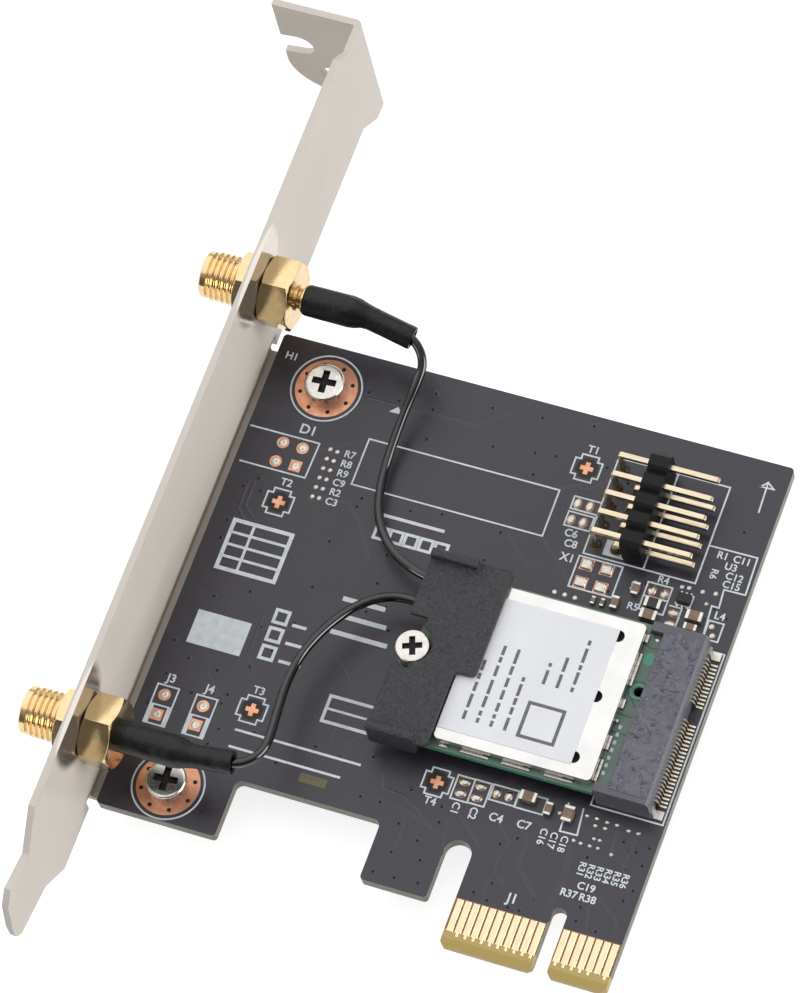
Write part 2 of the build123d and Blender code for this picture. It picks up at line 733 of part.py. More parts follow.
# Coax leads: straight runs joined by arcs as large as the runs allow
for jack, route in LEAD_ROUTES.items():
    stops = [Vector(*point) for point in route]
    runs = [b - a for a, b in zip(stops, stops[1:])]
    radii = []
    for before, after in zip(runs, runs[1:]):
        turn = math.radians(before.get_angle(after))
        radii.append(ARC_SHARE * min(before.length, after.length) / math.tan(turn / 2))
    print(jack, "lead arc radii", [round(radius, 1) for radius in radii])
    with BuildPart() as coax_lead:
        with BuildLine():
            lead_line = FilletPolyline(*stops, radius=radii)
        with BuildSketch(Plane(origin=stops[0], z_dir=runs[0])):
            Circle(LEAD_R)
        sweep()
    section = math.pi * LEAD_R**2
    print(jack, "lead length", round(lead_line.length, 2))
    filled = coax_lead.part.volume / (section * lead_line.length)
    print(jack, "lead volume over section times length", round(filled, 4))
    save(coax_lead, f"{jack}_coax_lead")

# Plugs on the ends of the leads, and the receptacles that they snap on to
for jack, plug_y in PLUG_YS.items():
    with BuildPart() as coax_plug:
        with BuildSketch(Plane.XY.offset(BASE_TOP + SLIP)):
            with Locations((PLUG_X, plug_y)):
                Circle(PLUG_R)
        extrude(amount=PLUG_Z + PLUG_ROOF - BASE_TOP)
        with BuildSketch(Plane.YZ.offset(PLUG_BACK)):
            with Locations((plug_y, PLUG_Z)):
                Circle(LEAD_R + PLUG_WALL)
        extrude(amount=PLUG_X - PLUG_BACK)
        with BuildSketch(Plane.XY.offset(BASE_TOP)):
            with Locations((PLUG_X, plug_y)):
                Circle(RING_R + PLUG_WALL)
        extrude(amount=RING_TOP - BASE_TOP + SLIP, mode=Mode.SUBTRACT)
    save(coax_plug, f"{jack}_coax_plug")

with BuildPart() as receptacles:
    for plug_y in PLUG_YS.values():
        with Locations((PLUG_X, plug_y, MODULE_TOP)):
            Box(RECEPTACLE_SIDE, RECEPTACLE_SIDE, BASE_TOP - MODULE_TOP, align=LOW)
            Cylinder(RING_R, RING_TOP - MODULE_TOP, align=LOW)
save(receptacles, "antenna_receptacles")

# Radio module board with its contact tongue, key notch and half-round screw notch
with BuildPart() as module_board:
    with BuildSketch(Plane.XY.offset(MODULE_Z)):
        with Locations(((MODULE_X0 + MODULE_SHOULDER) / 2, MODULE_Y)):
            Rectangle(MODULE_SHOULDER - MODULE_X0, MODULE_W)
        with Locations(((MODULE_X0 + MODULE_X1) / 2, MODULE_Y)):
            Rectangle(MODULE_X1 - MODULE_X0, MODULE_TONGUE_W)
        with Locations((MODULE_X0, MODULE_Y)):
            Circle(MODULE_NOTCH_R, mode=Mode.SUBTRACT)
        with Locations((MODULE_X1, MODULE_KEY_Y)):
            key_run = 2 * MODULE_KEY_DEPTH - MODULE_KEY_W
            SlotCenterToCenter(key_run, MODULE_KEY_W, mode=Mode.SUBTRACT)
    extrude(amount=MODULE_T)
save(module_board, "module_board")

# Shield can: thin lid and skirt, cut away between its solder feet, with three round vents
with BuildPart() as shield_can:
    shield_x = (SHIELD_X0 + SHIELD_X1) / 2
    shield_y = (SHIELD_Y0 + SHIELD_Y1) / 2
    shield_l = SHIELD_X1 - SHIELD_X0
    shield_w = SHIELD_Y1 - SHIELD_Y0
    with BuildSketch(Plane.XY.offset(MODULE_TOP)):
        with Locations((shield_x, shield_y)):
            RectangleRounded(shield_l, shield_w, SHIELD_CORNER_R)
    extrude(amount=SHIELD_TOP - MODULE_TOP)
    with BuildSketch(Plane.XY.offset(MODULE_TOP)):
        with Locations((shield_x, shield_y)):
            inner_l = shield_l - 2 * SHIELD_WALL
            inner_w = shield_w - 2 * SHIELD_WALL
            RectangleRounded(inner_l, inner_w, SHIELD_CORNER_R - SHIELD_WALL)
    extrude(amount=SHIELD_TOP - MODULE_TOP - SHIELD_WALL, mode=Mode.SUBTRACT)
    shares = [(i + 0.5) / SHIELD_GAP_COUNT for i in range(SHIELD_GAP_COUNT)]
    with Locations(*[(SHIELD_X0 + shield_l * share, shield_y, MODULE_TOP) for share in shares]):
        Box(SHIELD_GAP_W, 2 * shield_w, SHIELD_GAP_H, align=LOW, mode=Mode.SUBTRACT)
    with Locations(*[(shield_x, SHIELD_Y0 + shield_w * share, MODULE_TOP) for share in shares]):
        Box(2 * shield_l, SHIELD_GAP_W, SHIELD_GAP_H, align=LOW, mode=Mode.SUBTRACT)
    with Locations(*[(LABEL_X1, y, SHIELD_TOP) for y in SHIELD_HOLES]):
        Cylinder(SHIELD_HOLE_R, 3 * SHIELD_WALL, mode=Mode.SUBTRACT)
save(shield_can, "shield_can")

with BuildPart() as shield_label:
    label_l = LABEL_X1 - SHIELD_X0 - LABEL_MARGIN
    with Locations((LABEL_X1 - label_l / 2, (LABEL_Y0 + LABEL_Y1) / 2, SHIELD_TOP)):
        Box(label_l, LABEL_Y1 - LABEL_Y0, LABEL_T, align=LOW)
save(shield_label, "shield_label")

# Parts soldered under the shield can
with BuildPart() as radio_chip:
    with Locations((*RADIO_CHIP, MODULE_TOP)):
        Box(*RADIO_CHIP_SIZE, align=LOW)
save(radio_chip, "radio_chip")

with BuildPart() as front_end_chips:
    with Locations(*[(*spot, MODULE_TOP) for spot in FRONT_END_CHIPS]):
        Box(*FRONT_END_SIZE, align=LOW)
save(front_end_chips, "front_end_chips")

with BuildPart() as module_crystal:
    with Locations((*CRYSTAL, MODULE_TOP)):
        Box(*CRYSTAL_SIZE, align=LOW)
save(module_crystal, "module_crystal")

# Socket that holds the module's tongue, with its slot and key rib
with BuildPart() as socket_housing:
    socket_y = (SOCKET_Y0 + SOCKET_Y1) / 2
    with Locations(((SOCKET_X0 + SOCKET_X1) / 2, socket_y, 0)):
        Box(SOCKET_X1 - SOCKET_X0, SOCKET_Y1 - SOCKET_Y0, SOCKET_TOP, align=LOW)
    arm_l = SOCKET_X0 - SOCKET_ARM_X
    arm_ys = (SOCKET_Y0 + SOCKET_ARM_W / 2, SOCKET_Y1 - SOCKET_ARM_W / 2)
    with Locations(*[(SOCKET_X0 - arm_l / 2, y, 0) for y in arm_ys]):
        Box(arm_l, SOCKET_ARM_W, SOCKET_TOP, align=LOW)
    slot_end = MODULE_X1 + SOCKET_END_GAP
    slot_l = slot_end - SOCKET_ARM_X
    slot_w = MODULE_TONGUE_W + 2 * SOCKET_SIDE_GAP
    slot_h = MODULE_T + 2 * SOCKET_FACE_GAP
    with Locations((slot_end - slot_l / 2, MODULE_Y, MODULE_Z - SOCKET_FACE_GAP)):
        Box(slot_l, slot_w, slot_h, align=LOW, mode=Mode.SUBTRACT)
    rib_l = slot_end - SOCKET_X0
    with Locations((slot_end - rib_l / 2, MODULE_KEY_Y, MODULE_Z - SOCKET_FACE_GAP)):
        Box(rib_l, MODULE_KEY_W - 2 * SOCKET_SIDE_GAP, slot_h, align=LOW)
    back_edges = socket_housing.edges().filter_by(Axis.Y).group_by(Axis.Z)[-1]
    chamfer(back_edges.sort_by(Axis.X)[-1], SOCKET_CHAMFER)
save(socket_housing, "socket_housing")

# Socket contacts: cranked tails behind the housing and straight tails under the module
with BuildPart() as rear_contacts:
    for pin in REAR_PINS:
        pin_y = FIRST_PIN_Y - pin * PIN_PITCH
        with BuildSketch(Plane.XZ.offset(-pin_y)):
            Polygon(
                (SOCKET_X1, TAIL_TOP),
                (SOCKET_X1, TAIL_TOP - PIN_T),
                (SOCKET_X1 + TAIL_KNEE, TAIL_TOP - PIN_T),
                (SOCKET_X1 + TAIL_FOOT, 0),
                (TAIL_X, 0),
                (TAIL_X, PIN_T),
                (SOCKET_X1 + TAIL_FOOT + TAIL_SKEW, PIN_T),
                (SOCKET_X1 + TAIL_KNEE + TAIL_SKEW, TAIL_TOP),
                align=None,
            )
        extrude(amount=PIN_W / 2, both=True)
save(rear_contacts, "socket_contacts_rear")

with BuildPart() as front_contacts:
    front_y = FIRST_PIN_Y - PIN_PITCH / 2
    front_x = SOCKET_X0 - FRONT_TAIL_L / 2
    with Locations(*[(front_x, front_y - pin * PIN_PITCH, 0) for pin in FRONT_PINS]):
        Box(FRONT_TAIL_L, PIN_W, PIN_T, align=LOW)
save(front_contacts, "socket_contacts_front")

with BuildPart() as socket_anchors:
    anchor_x = (SOCKET_X1 + TAIL_X) / 2
    for anchor_y in (SOCKET_Y0 + ANCHOR_INSET, SOCKET_Y1 - ANCHOR_INSET):
        with Locations((anchor_x, anchor_y, 0)):
            Box(TAIL_X - SOCKET_X1, *ANCHOR_FOOT, align=LOW)
        with Locations((SOCKET_X1 + ANCHOR_POST[0] / 2, anchor_y, 0)):
            Box(*ANCHOR_POST, align=LOW)
save(socket_anchors, "socket_anchors")

with BuildPart() as pickup_film:
    film_l = SOCKET_X1 - SOCKET_X0 - 2 * FILM_MARGIN_X
    film_w = SOCKET_Y1 - SOCKET_Y0 - 2 * FILM_MARGIN_Y
    with Locations(((SOCKET_X0 + SOCKET_X1) / 2 - FILM_SHIFT, socket_y, SOCKET_TOP)):
        Box(film_l, film_w, FILM_T, align=LOW)
save(pickup_film, "pickup_film")

# Threaded standoff under the module's end, and the screw that holds the module down
with BuildPart() as standoff:
    with Locations((MODULE_X0, MODULE_Y, 0)):
        Cylinder(STANDOFF_R, MODULE_Z, align=LOW)
        Cylinder(STANDOFF_FOOT_R, BOARD_T, align=HIGH)
        Cylinder(STANDOFF_BORE_R, 2 * BOARD_T + 2 * MODULE_Z, mode=Mode.SUBTRACT)
save(standoff, "standoff")

with BuildPart() as module_screw:
    with BuildSketch(Plane.XY.offset(MODULE_TOP)):
        with Locations((MODULE_X0, MODULE_Y)):
            Circle(MODULE_SCREW_R)
    extrude(amount=MODULE_SCREW_H)
    screw_rim = module_screw.edges().filter_by(GeomType.CIRCLE).group_by(Axis.Z)[-1]
    fillet(screw_rim, MODULE_SCREW_RIM_R)
    with BuildSketch(Plane.XY.offset(MODULE_TOP)):
        with Locations((MODULE_X0, MODULE_Y)):
            Circle(MODULE_SCREW_SHANK_R)
    extrude(amount=-MODULE_SCREW_LENGTH)
    with BuildSketch(Plane.XY.offset(MODULE_TOP + MODULE_SCREW_H)):
        with Locations((MODULE_X0, MODULE_Y)):
            Rectangle(*MODULE_RECESS, rotation=MODULE_RECESS_TURN)
            Rectangle(*MODULE_RECESS, rotation=MODULE_RECESS_TURN + 90)
    extrude(amount=-MODULE_RECESS_DEPTH, mode=Mode.SUBTRACT)
save(module_screw, "module_screw")

# Antenna clip: stepped plate with hooked side walls that grip the module's long edges
with BuildPart() as antenna_clip:
    with BuildSketch(Plane.XY.offset(CLIP_Z)):
        with BuildLine():
            Polyline(
                (CLIP_X0, CLIP_Y0),
                (CLIP_STEP_X, CLIP_Y0),
                (CLIP_STEP_X, CLIP_STEP_Y),
                (CLIP_X1, CLIP_STEP_Y),
                (CLIP_X1, CLIP_Y1),
                (CLIP_X0, CLIP_Y1),
                close=True,
            )
        make_face()
        fillet([v for v in vertices() if v.X > CLIP_STEP_X - EPS], CLIP_CORNER_R)
        notch_l = CLIP_NOTCH_X - CLIP_X0
        with Locations((CLIP_X0 + notch_l / 2, (CLIP_NOTCH_Y0 + CLIP_NOTCH_Y1) / 2)):
            Rectangle(notch_l, CLIP_NOTCH_Y1 - CLIP_NOTCH_Y0, mode=Mode.SUBTRACT)
        with Locations((MODULE_X0, MODULE_Y)):
            Circle(CLIP_SCREW_CLEAR, mode=Mode.SUBTRACT)
    extrude(amount=CLIP_TOP - CLIP_Z)
    rib_l = CLIP_RIB_X1 - CLIP_X0
    rib_x = (CLIP_X0 + CLIP_RIB_X1) / 2
    hook_z = MODULE_Z - CLIP_HOOK_DROP
    for edge_y, inward in ((CLIP_Y0, 1), (CLIP_Y1, -1)):
        with Locations((rib_x, edge_y + inward * CLIP_RIB_W / 2, CLIP_Z)):
            Box(rib_l, CLIP_RIB_W, CLIP_RIB_TOP - CLIP_Z, align=LOW)
        with Locations((rib_x, edge_y + inward * CLIP_WALL / 2, hook_z)):
            Box(rib_l, CLIP_WALL, CLIP_Z - hook_z, align=LOW)
        with Locations((rib_x, edge_y + inward * (CLIP_WALL + CLIP_HOOK) / 2, hook_z)):
            Box(rib_l, CLIP_WALL + CLIP_HOOK, CLIP_HOOK_T, align=LOW)
    rib_edges = antenna_clip.edges().filter_by(Axis.X).group_by(Axis.Z)[-1]
    fillet(rib_edges, CLIP_RIB_ROUND_R)
save(antenna_clip, "antenna_clip")

# Header housing: five joined octagonal blocks, square holes for the pins
with BuildPart() as header_housing:
    for block_y in HEADER_YS:
        with BuildSketch(Plane.YZ.offset(HEADER_X0)):
            with Locations((block_y, (HEADER_Z0 + HEADER_Z1) / 2)):
                Rectangle(HEADER_PITCH, HEADER_Z1 - HEADER_Z0)
            chamfer(vertices(), HEADER_CORNER)
        extrude(amount=HEADER_X1 - HEADER_X0)
    upper_spots = [(y, UPPER_ROW_Z) for y in HEADER_YS]
    lower_spots = [(y, LOWER_ROW_Z) for y in LOWER_ROW_YS]
    with BuildSketch(Plane.YZ.offset(HEADER_X0)):
        with Locations(*upper_spots, *lower_spots):
            Rectangle(PIN_SIDE + SLIP, PIN_SIDE + SLIP)
    extrude(amount=HEADER_X1 - HEADER_X0, mode=Mode.SUBTRACT)
save(header_housing, "header_housing")

# Header pins, bent down into the board; the lower row has one position left empty
half_pin = PIN_SIDE / 2
header_rows = (
    ("upper", UPPER_LEG_X, UPPER_ROW_Z, HEADER_YS),
    ("lower", LOWER_LEG_X, LOWER_ROW_Z, LOWER_ROW_YS),
)
for row, leg_x, row_z, pin_ys in header_rows:
    with BuildPart() as header_pins:
        for pin_y in pin_ys:
            with BuildSketch(Plane.XZ.offset(-pin_y)):
                with BuildLine():
                    Polyline(
                        (leg_x - half_pin, PIN_TAIL_Z),
                        (leg_x + half_pin, PIN_TAIL_Z),
                        (leg_x + half_pin, row_z - half_pin),
                        (PIN_TIP_X - PIN_END_L, row_z - half_pin),
                        (PIN_TIP_X, row_z - half_pin + PIN_END_IN),
                        (PIN_TIP_X, row_z + half_pin - PIN_END_IN),
                        (PIN_TIP_X - PIN_END_L, row_z + half_pin),
                        (leg_x - half_pin, row_z + half_pin),
                        close=True,
                    )
                make_face()
                fillet([v for v in vertices() if v.X < leg_x and v.Y > 0], PIN_BEND_R)
            extrude(amount=half_pin, both=True)
    save(header_pins, f"header_pins_{row}")

# Chip capacitors and the resistor: a body between two plated ends
chip_kinds = (
    ("capacitor", CAPACITORS, 1.0),
    ("resistor", RESISTORS, RESISTOR_HEIGHT_SHARE),
)
for kind, chips, height_share in chip_kinds:
    with BuildPart() as chip_bodies:
        for chip_x, chip_y, case, along in chips:
            length, width, height, cap = CASES[case]
            middle = length - 2 * cap
            height *= height_share
            with Locations((chip_x, chip_y, 0)):
                Box(*turned(middle, width, along), height, align=LOW)
    save(chip_bodies, f"{kind}_bodies")
    with BuildPart() as chip_ends:
        for chip_x, chip_y, case, along in chips:
            length, width, height, cap = CASES[case]
            shift = (length - cap) / 2
            height *= height_share
            for sign in (-1, 1):
                step_x, step_y = turned(sign * shift, 0, along)
                with Locations((chip_x + step_x, chip_y + step_y, 0)):
                    Box(*turned(cap, width, along), height, align=LOW)
    save(chip_ends, f"{kind}_ends")

# Small regulator with three leads on each side
with BuildPart() as regulator_body:
    with Locations((*REGULATOR, REGULATOR_LIFT)):
        Box(*REGULATOR_SIZE, align=LOW)
save(regulator_body, "regulator_body")

with BuildPart() as regulator_leads:
    lead_offset = (REGULATOR_SIZE[1] + REGULATOR_LEAD[1]) / 2
    lead_xs = [REGULATOR[0] + i * REGULATOR_PITCH for i in (-1, 0, 1)]
    for sign in (-1, 1):
        with Locations(*[(x, REGULATOR[1] + sign * lead_offset, 0) for x in lead_xs]):
            Box(*REGULATOR_LEAD, align=LOW)
save(regulator_leads, "regulator_leads")

# Tinned pads with no part on them
with BuildPart() as solder_pads:
    for pad_x, pad_y, pad_l, pad_w in PADS:
        with Locations((pad_x, pad_y, 0)):
            Box(pad_l, pad_w, PAD_T, align=LOW)
save(solder_pads, "solder_pads")
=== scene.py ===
"""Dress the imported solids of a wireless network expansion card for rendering.

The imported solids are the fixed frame. The classes below round the edges that catch the light, model the
threads, leads, solder, print and relief that the solids leave out, and give each piece its real finish.
Sizes are in millimetres until a mesh is finished, and X runs away from the bracket, Y up the board and Z
out of its component face.
"""

import functools
import logging
import math
import random
from dataclasses import dataclass
from enum import Enum
from typing import Any, Iterable, Sequence

import bmesh
import bpy
from bmesh.types import BMesh
from bpy.types import Material, Mesh, Node, NodeSocket, NodeTree, Object
from mathutils import Matrix, Vector


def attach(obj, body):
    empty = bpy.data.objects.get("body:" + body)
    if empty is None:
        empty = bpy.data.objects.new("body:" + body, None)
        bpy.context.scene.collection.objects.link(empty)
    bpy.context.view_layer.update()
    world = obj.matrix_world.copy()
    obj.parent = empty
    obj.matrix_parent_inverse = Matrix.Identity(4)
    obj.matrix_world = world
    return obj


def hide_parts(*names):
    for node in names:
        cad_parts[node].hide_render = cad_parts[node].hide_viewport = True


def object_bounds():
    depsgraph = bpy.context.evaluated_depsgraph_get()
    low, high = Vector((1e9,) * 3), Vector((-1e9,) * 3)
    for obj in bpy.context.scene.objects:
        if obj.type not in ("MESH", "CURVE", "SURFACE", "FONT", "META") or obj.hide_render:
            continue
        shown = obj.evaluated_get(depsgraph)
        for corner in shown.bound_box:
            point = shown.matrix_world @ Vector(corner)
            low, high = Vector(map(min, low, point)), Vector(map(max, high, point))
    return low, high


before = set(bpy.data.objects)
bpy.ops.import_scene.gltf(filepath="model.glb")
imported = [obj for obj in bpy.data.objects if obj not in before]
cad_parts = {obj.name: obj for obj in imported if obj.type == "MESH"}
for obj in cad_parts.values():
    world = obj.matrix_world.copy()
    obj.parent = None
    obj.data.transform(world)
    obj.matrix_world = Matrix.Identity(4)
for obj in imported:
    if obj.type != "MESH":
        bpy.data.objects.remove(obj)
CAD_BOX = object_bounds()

LOG = logging.getLogger("network_card")
MM = 0.001
Point = tuple[float, float]
Place = tuple[float, float, float]
Box = tuple[float, float, float, float]

# Middles of the two screws that hold the board to the bracket, and the thickness of the board
BRACKET_SCREWS: Sequence[Point] = ((-49.45, 63.3), (-49.45, 9.4))
BOARD_THICKNESS = 1.57
# Span that nearly all values of a noise texture fall in
NOISE_SPAN = {"From Min": 0.3, "From Max": 0.7}
# Steepest face that still counts as one of a board's two sides, as the cosine of its slope
LEVEL = 0.97
# Step in height between two runs of a printed line, so that no two tops lie on one level where they meet
RUN_STEP = 0.003
# Share of its width by which each run of a line is longer than the distance between its corners
RUN_OVERLAP = 0.98


def linear(hex_colour: str) -> tuple[float, float, float, float]:
    """Turn an sRGB hex colour into the linear values that a shader takes.

    Args:
        hex_colour: Colour as six hex digits after a hash sign.

    Returns:
        Linear red, green, blue and an alpha of one.
    """
    parts = [int(hex_colour[i : i + 2], 16) / 255 for i in (1, 3, 5)]
    red, green, blue = (p / 12.92 if p <= 0.04045 else ((p + 0.055) / 1.055) ** 2.4 for p in parts)
    return red, green, blue, 1.0


def add_node(tree: NodeTree, kind: str, inputs: dict[Any, Any] | None = None, **settings: Any) -> Node:
    """Add one shader node with its settings, values and links.

    Args:
        tree: Node tree that takes the node.
        kind: Blender's name for the node type.
        inputs: A value or an output socket for each input, by name or number.
        **settings: Properties set on the node before its inputs.

    Returns:
        The new node.
    """
    node = tree.nodes.new(kind)
    for name, value in settings.items():
        setattr(node, name, value)
    for key, value in (inputs or {}).items():
        if isinstance(value, NodeSocket):
            tree.links.new(value, node.inputs[key])
        else:
            node.inputs[key].default_value = value
    return node


def per_metre(size_mm: float) -> float:
    """Return the texture scale that gives a feature of this size in millimetres."""
    return 1.0 / (size_mm * MM)


def empty_tree(owner: Any) -> NodeTree:
    """Switch a material or world to nodes.

    Args:
        owner: The material or world.

    Returns:
        Its node tree, emptied.
    """
    owner.use_nodes = True
    owner.node_tree.nodes.clear()
    return owner.node_tree


def put(name: str, data: Any) -> Object:
    """Add an object to the scene.

    Args:
        name: Name of the object.
        data: Its mesh, curve, lamp or camera.

    Returns:
        The new object.
    """
    thing = bpy.data.objects.new(name, data)
    bpy.context.scene.collection.objects.link(thing)
    return thing


class Relief(Enum):
    """The kind of fine relief that a surface has."""

    SMOOTH = "smooth"
    GRAIN = "grain"
    WRINKLED = "wrinkled"


@dataclass(frozen=True)
class Finish:
    """A real material with the way its surface was made.

    Attributes:
        name: Common name of the material and its surface.
        colour: Main colour.
        second: Colour that its patches wander to.
        metallic: One for bare metal.
        roughness: Middle roughness.
        wander: How far the roughness goes either side of the middle.
        patch_mm: Size of the patches of colour and roughness.
        stretch: Squeeze of the pattern along X, Y and Z, for drawn or brushed surfaces.
        relief: Kind of fine relief.
        relief_mm: Size of a grain or wrinkle.
        depth_mm: Height of the relief.
        ior: Index of refraction of a dielectric.
    """

    name: str
    colour: str
    second: str
    metallic: float = 0.0
    roughness: float = 0.5
    wander: float = 0.05
    patch_mm: float = 5.0
    stretch: Place = (1.0, 1.0, 1.0)
    relief: Relief = Relief.SMOOTH
    relief_mm: float = 0.2
    depth_mm: float = 0.004
    ior: float = 1.5

    def tone(self, tree: NodeTree, place: NodeSocket, patches: NodeSocket) -> NodeSocket:
        """Mix the two colours by the patches.

        Args:
            tree: Node tree of the material.
            place: Object coordinates.
            patches: Patch value from nought to one.

        Returns:
            The colour socket.
        """
        spread = add_node(tree, "ShaderNodeMapRange", {"Value": patches, **NOISE_SPAN})
        colours = {0: spread.outputs[0], 6: linear(self.colour), 7: linear(self.second)}
        return add_node(tree, "ShaderNodeMix", colours, data_type="RGBA").outputs[2]

    def metal(self, tree: NodeTree, place: NodeSocket) -> float | NodeSocket:
        """Return how metallic the surface is.

        Args:
            tree: Node tree of the material.
            place: Object coordinates.

        Returns:
            One value for the whole surface.
        """
        return self.metallic

    def height(self, tree: NodeTree, place: NodeSocket) -> NodeSocket:
        """Return the height of the fine relief.

        Args:
            tree: Node tree of the material.
            place: Object coordinates, already stretched.

        Returns:
            The height socket, about nought to one.
        """
        scale = per_metre(self.relief_mm)
        if self.relief is Relief.WRINKLED:
            folds = {"Vector": place, "Scale": scale, "Detail": 2.5, "Roughness": 0.55, "Distortion": 0.9}
            return add_node(tree, "ShaderNodeTexNoise", folds, noise_type="RIDGED_MULTIFRACTAL").outputs[0]
        grain = {"Vector": place, "Scale": scale, "Detail": 3.0, "Roughness": 0.6}
        return add_node(tree, "ShaderNodeTexNoise", grain).outputs[0]


@dataclass(frozen=True)
class MaskFinish(Finish):
    """Solder mask on the board's faces, with bare laminate on its cut edges and at the contact edge.

    Attributes:
        laminate: Colour of the routed glass epoxy.
        laminate_dark: Colour of the cut glass fibres in it.
        bevel: Colour of the smooth laminate at the contact edge.
        between: Colour of the laminate between the contacts, darkened with painted shade of the narrow gaps.
        bare_below_mm: Height above the contact edge up to which the laminate is smooth and bare.
        between_below_mm: Height up to which laminate shows between the contacts.
        tab_from_mm: X at which the contact tab starts.
        fibre_mm: Size of the cut fibres.
    """

    laminate: str = "#767155"
    laminate_dark: str = "#3a372b"
    bevel: str = "#b39c58"
    between: str = "#7d5c33"
    bare_below_mm: float = 2.05
    between_below_mm: float = 6.05
    tab_from_mm: float = -12.2
    fibre_mm: float = 0.35

    def tone(self, tree: NodeTree, place: NodeSocket, patches: NodeSocket) -> NodeSocket:
        """Show the mask on the two faces and laminate elsewhere, with painted shade in the laminate between the
        contacts.

        Args:
            tree: Node tree of the material.
            place: Object coordinates.
            patches: Patch value from nought to one.

        Returns:
            The colour socket.
        """
        mask = Finish.tone(self, tree, place, patches)
        fibres = {"Vector": place, "Scale": per_metre(self.fibre_mm), "Detail": 4.0}
        speckle = add_node(tree, "ShaderNodeTexNoise", fibres).outputs[0]
        axes = add_node(tree, "ShaderNodeSeparateXYZ", {0: place}).outputs
        facing = add_node(tree, "ShaderNodeTexCoord").outputs["Normal"]
        facing_z = add_node(tree, "ShaderNodeSeparateXYZ", {0: facing}).outputs["Z"]
        flat = add_node(tree, "ShaderNodeMath", {0: facing_z}, operation="ABSOLUTE").outputs[0]
        low, rows, cut, tab = (
            add_node(tree, "ShaderNodeMath", {0: value, 1: limit}, operation=test).outputs[0]
            for value, limit, test in (
                (axes["Y"], self.bare_below_mm * MM, "LESS_THAN"),
                (axes["Y"], self.between_below_mm * MM, "LESS_THAN"),
                (flat, LEVEL, "LESS_THAN"),
                (axes["X"], self.tab_from_mm * MM, "GREATER_THAN"),
            )
        )
        gap_shade_strips = add_node(tree, "ShaderNodeMath", {0: rows, 1: tab}, operation="MULTIPLY").outputs[0]
        uncoated = add_node(tree, "ShaderNodeMath", {0: cut, 1: low}, operation="MAXIMUM").outputs[0]
        edge = {0: speckle, 6: linear(self.laminate), 7: linear(self.laminate_dark)}
        routed = add_node(tree, "ShaderNodeMix", edge, data_type="RGBA").outputs[2]
        bare = add_node(tree, "ShaderNodeMix", {0: low, 6: routed, 7: linear(self.bevel)}, data_type="RGBA").outputs[2]
        # Between the contacts the laminate's colour carries painted shade of the gaps
        side = {0: gap_shade_strips, 6: mask, 7: linear(self.between)}
        face = add_node(tree, "ShaderNodeMix", side, data_type="RGBA").outputs[2]
        return add_node(tree, "ShaderNodeMix", {0: uncoated, 6: face, 7: bare}, data_type="RGBA").outputs[2]


@dataclass(frozen=True)
class SheetFinish(Finish):
    """Plated sheet with a dull passivated skin that is burnished to bright metal inside, round the jacks.

    Attributes:
        burnished: Middles of the burnished spots.
        bright_mm: Radius of a spot's bright middle.
        dull_mm: Radius at which the skin is dull again.
        thinness: How many times thinner than wide a spot is, so that the sheet's other face stays dull.
        bright: How metallic the middle of a spot is.
    """

    burnished: Sequence[Place] = ()
    bright_mm: float = 5.5
    dull_mm: float = 7.0
    thinness: float = 10.0
    bright: float = 0.92

    def metal(self, tree: NodeTree, place: NodeSocket) -> NodeSocket:
        """Return bright metal in the burnished spots and the dull skin elsewhere.

        Args:
            tree: Node tree of the material.
            place: Object coordinates.

        Returns:
            The metallic socket.
        """
        thin = {0: place, 1: (self.thinness, 1, 1)}
        flat = add_node(tree, "ShaderNodeVectorMath", thin, operation="MULTIPLY").outputs[0]
        nearest: float | NodeSocket = 1.0
        for x, y, z in self.burnished:
            spot = {0: flat, 1: (self.thinness * x * MM, y * MM, z * MM)}
            away = add_node(tree, "ShaderNodeVectorMath", spot, operation="DISTANCE").outputs["Value"]
            nearest = add_node(tree, "ShaderNodeMath", {0: away, 1: nearest}, operation="MINIMUM").outputs[0]
        fade = {
            "Value": nearest, "From Min": self.bright_mm * MM, "From Max": self.dull_mm * MM, "To Min": self.bright,
            "To Max": self.metallic,
        }
        return add_node(tree, "ShaderNodeMapRange", fade, interpolation_type="SMOOTHSTEP").outputs[0]


@functools.cache
def material_of(finish: Finish) -> Material:
    """Build a finish's material once.

    Args:
        finish: The finish to build.

    Returns:
        The node material.
    """
    material = bpy.data.materials.new(finish.name)
    tree = empty_tree(material)
    place = add_node(tree, "ShaderNodeTexCoord").outputs["Object"]
    drawn = add_node(tree, "ShaderNodeVectorMath", {0: place, 1: finish.stretch}, operation="MULTIPLY").outputs[0]
    noise = {"Vector": drawn, "Scale": per_metre(finish.patch_mm), "Detail": 5.0, "Roughness": 0.6}
    patches = add_node(tree, "ShaderNodeTexNoise", noise).outputs[0]
    low, high = finish.roughness - finish.wander, finish.roughness + finish.wander
    span = {"Value": patches, **NOISE_SPAN, "To Min": low, "To Max": high}
    surface: dict[Any, Any] = {
        "Base Color": finish.tone(tree, place, patches),
        "Roughness": add_node(tree, "ShaderNodeMapRange", span).outputs[0],
        "Metallic": finish.metal(tree, place),
        "IOR": finish.ior,
    }
    if finish.relief is not Relief.SMOOTH:
        raised = {"Height": finish.height(tree, drawn), "Distance": finish.depth_mm * MM}
        surface["Normal"] = add_node(tree, "ShaderNodeBump", raised).outputs[0]
    shader = add_node(tree, "ShaderNodeBsdfPrincipled", surface)
    add_node(tree, "ShaderNodeOutputMaterial", {"Surface": shader.outputs[0]})
    return material


# Matt black solder mask over glass epoxy: charcoal with a faint violet sheen, dark olive where the board is cut
BOARD_MASK = MaskFinish(
    "black_solder_mask_on_glass_epoxy", "#25222b", "#332f3b", roughness=0.36, wander=0.1, patch_mm=5.0, ior=1.57,
    relief=Relief.GRAIN, relief_mm=0.45, depth_mm=0.02,
)
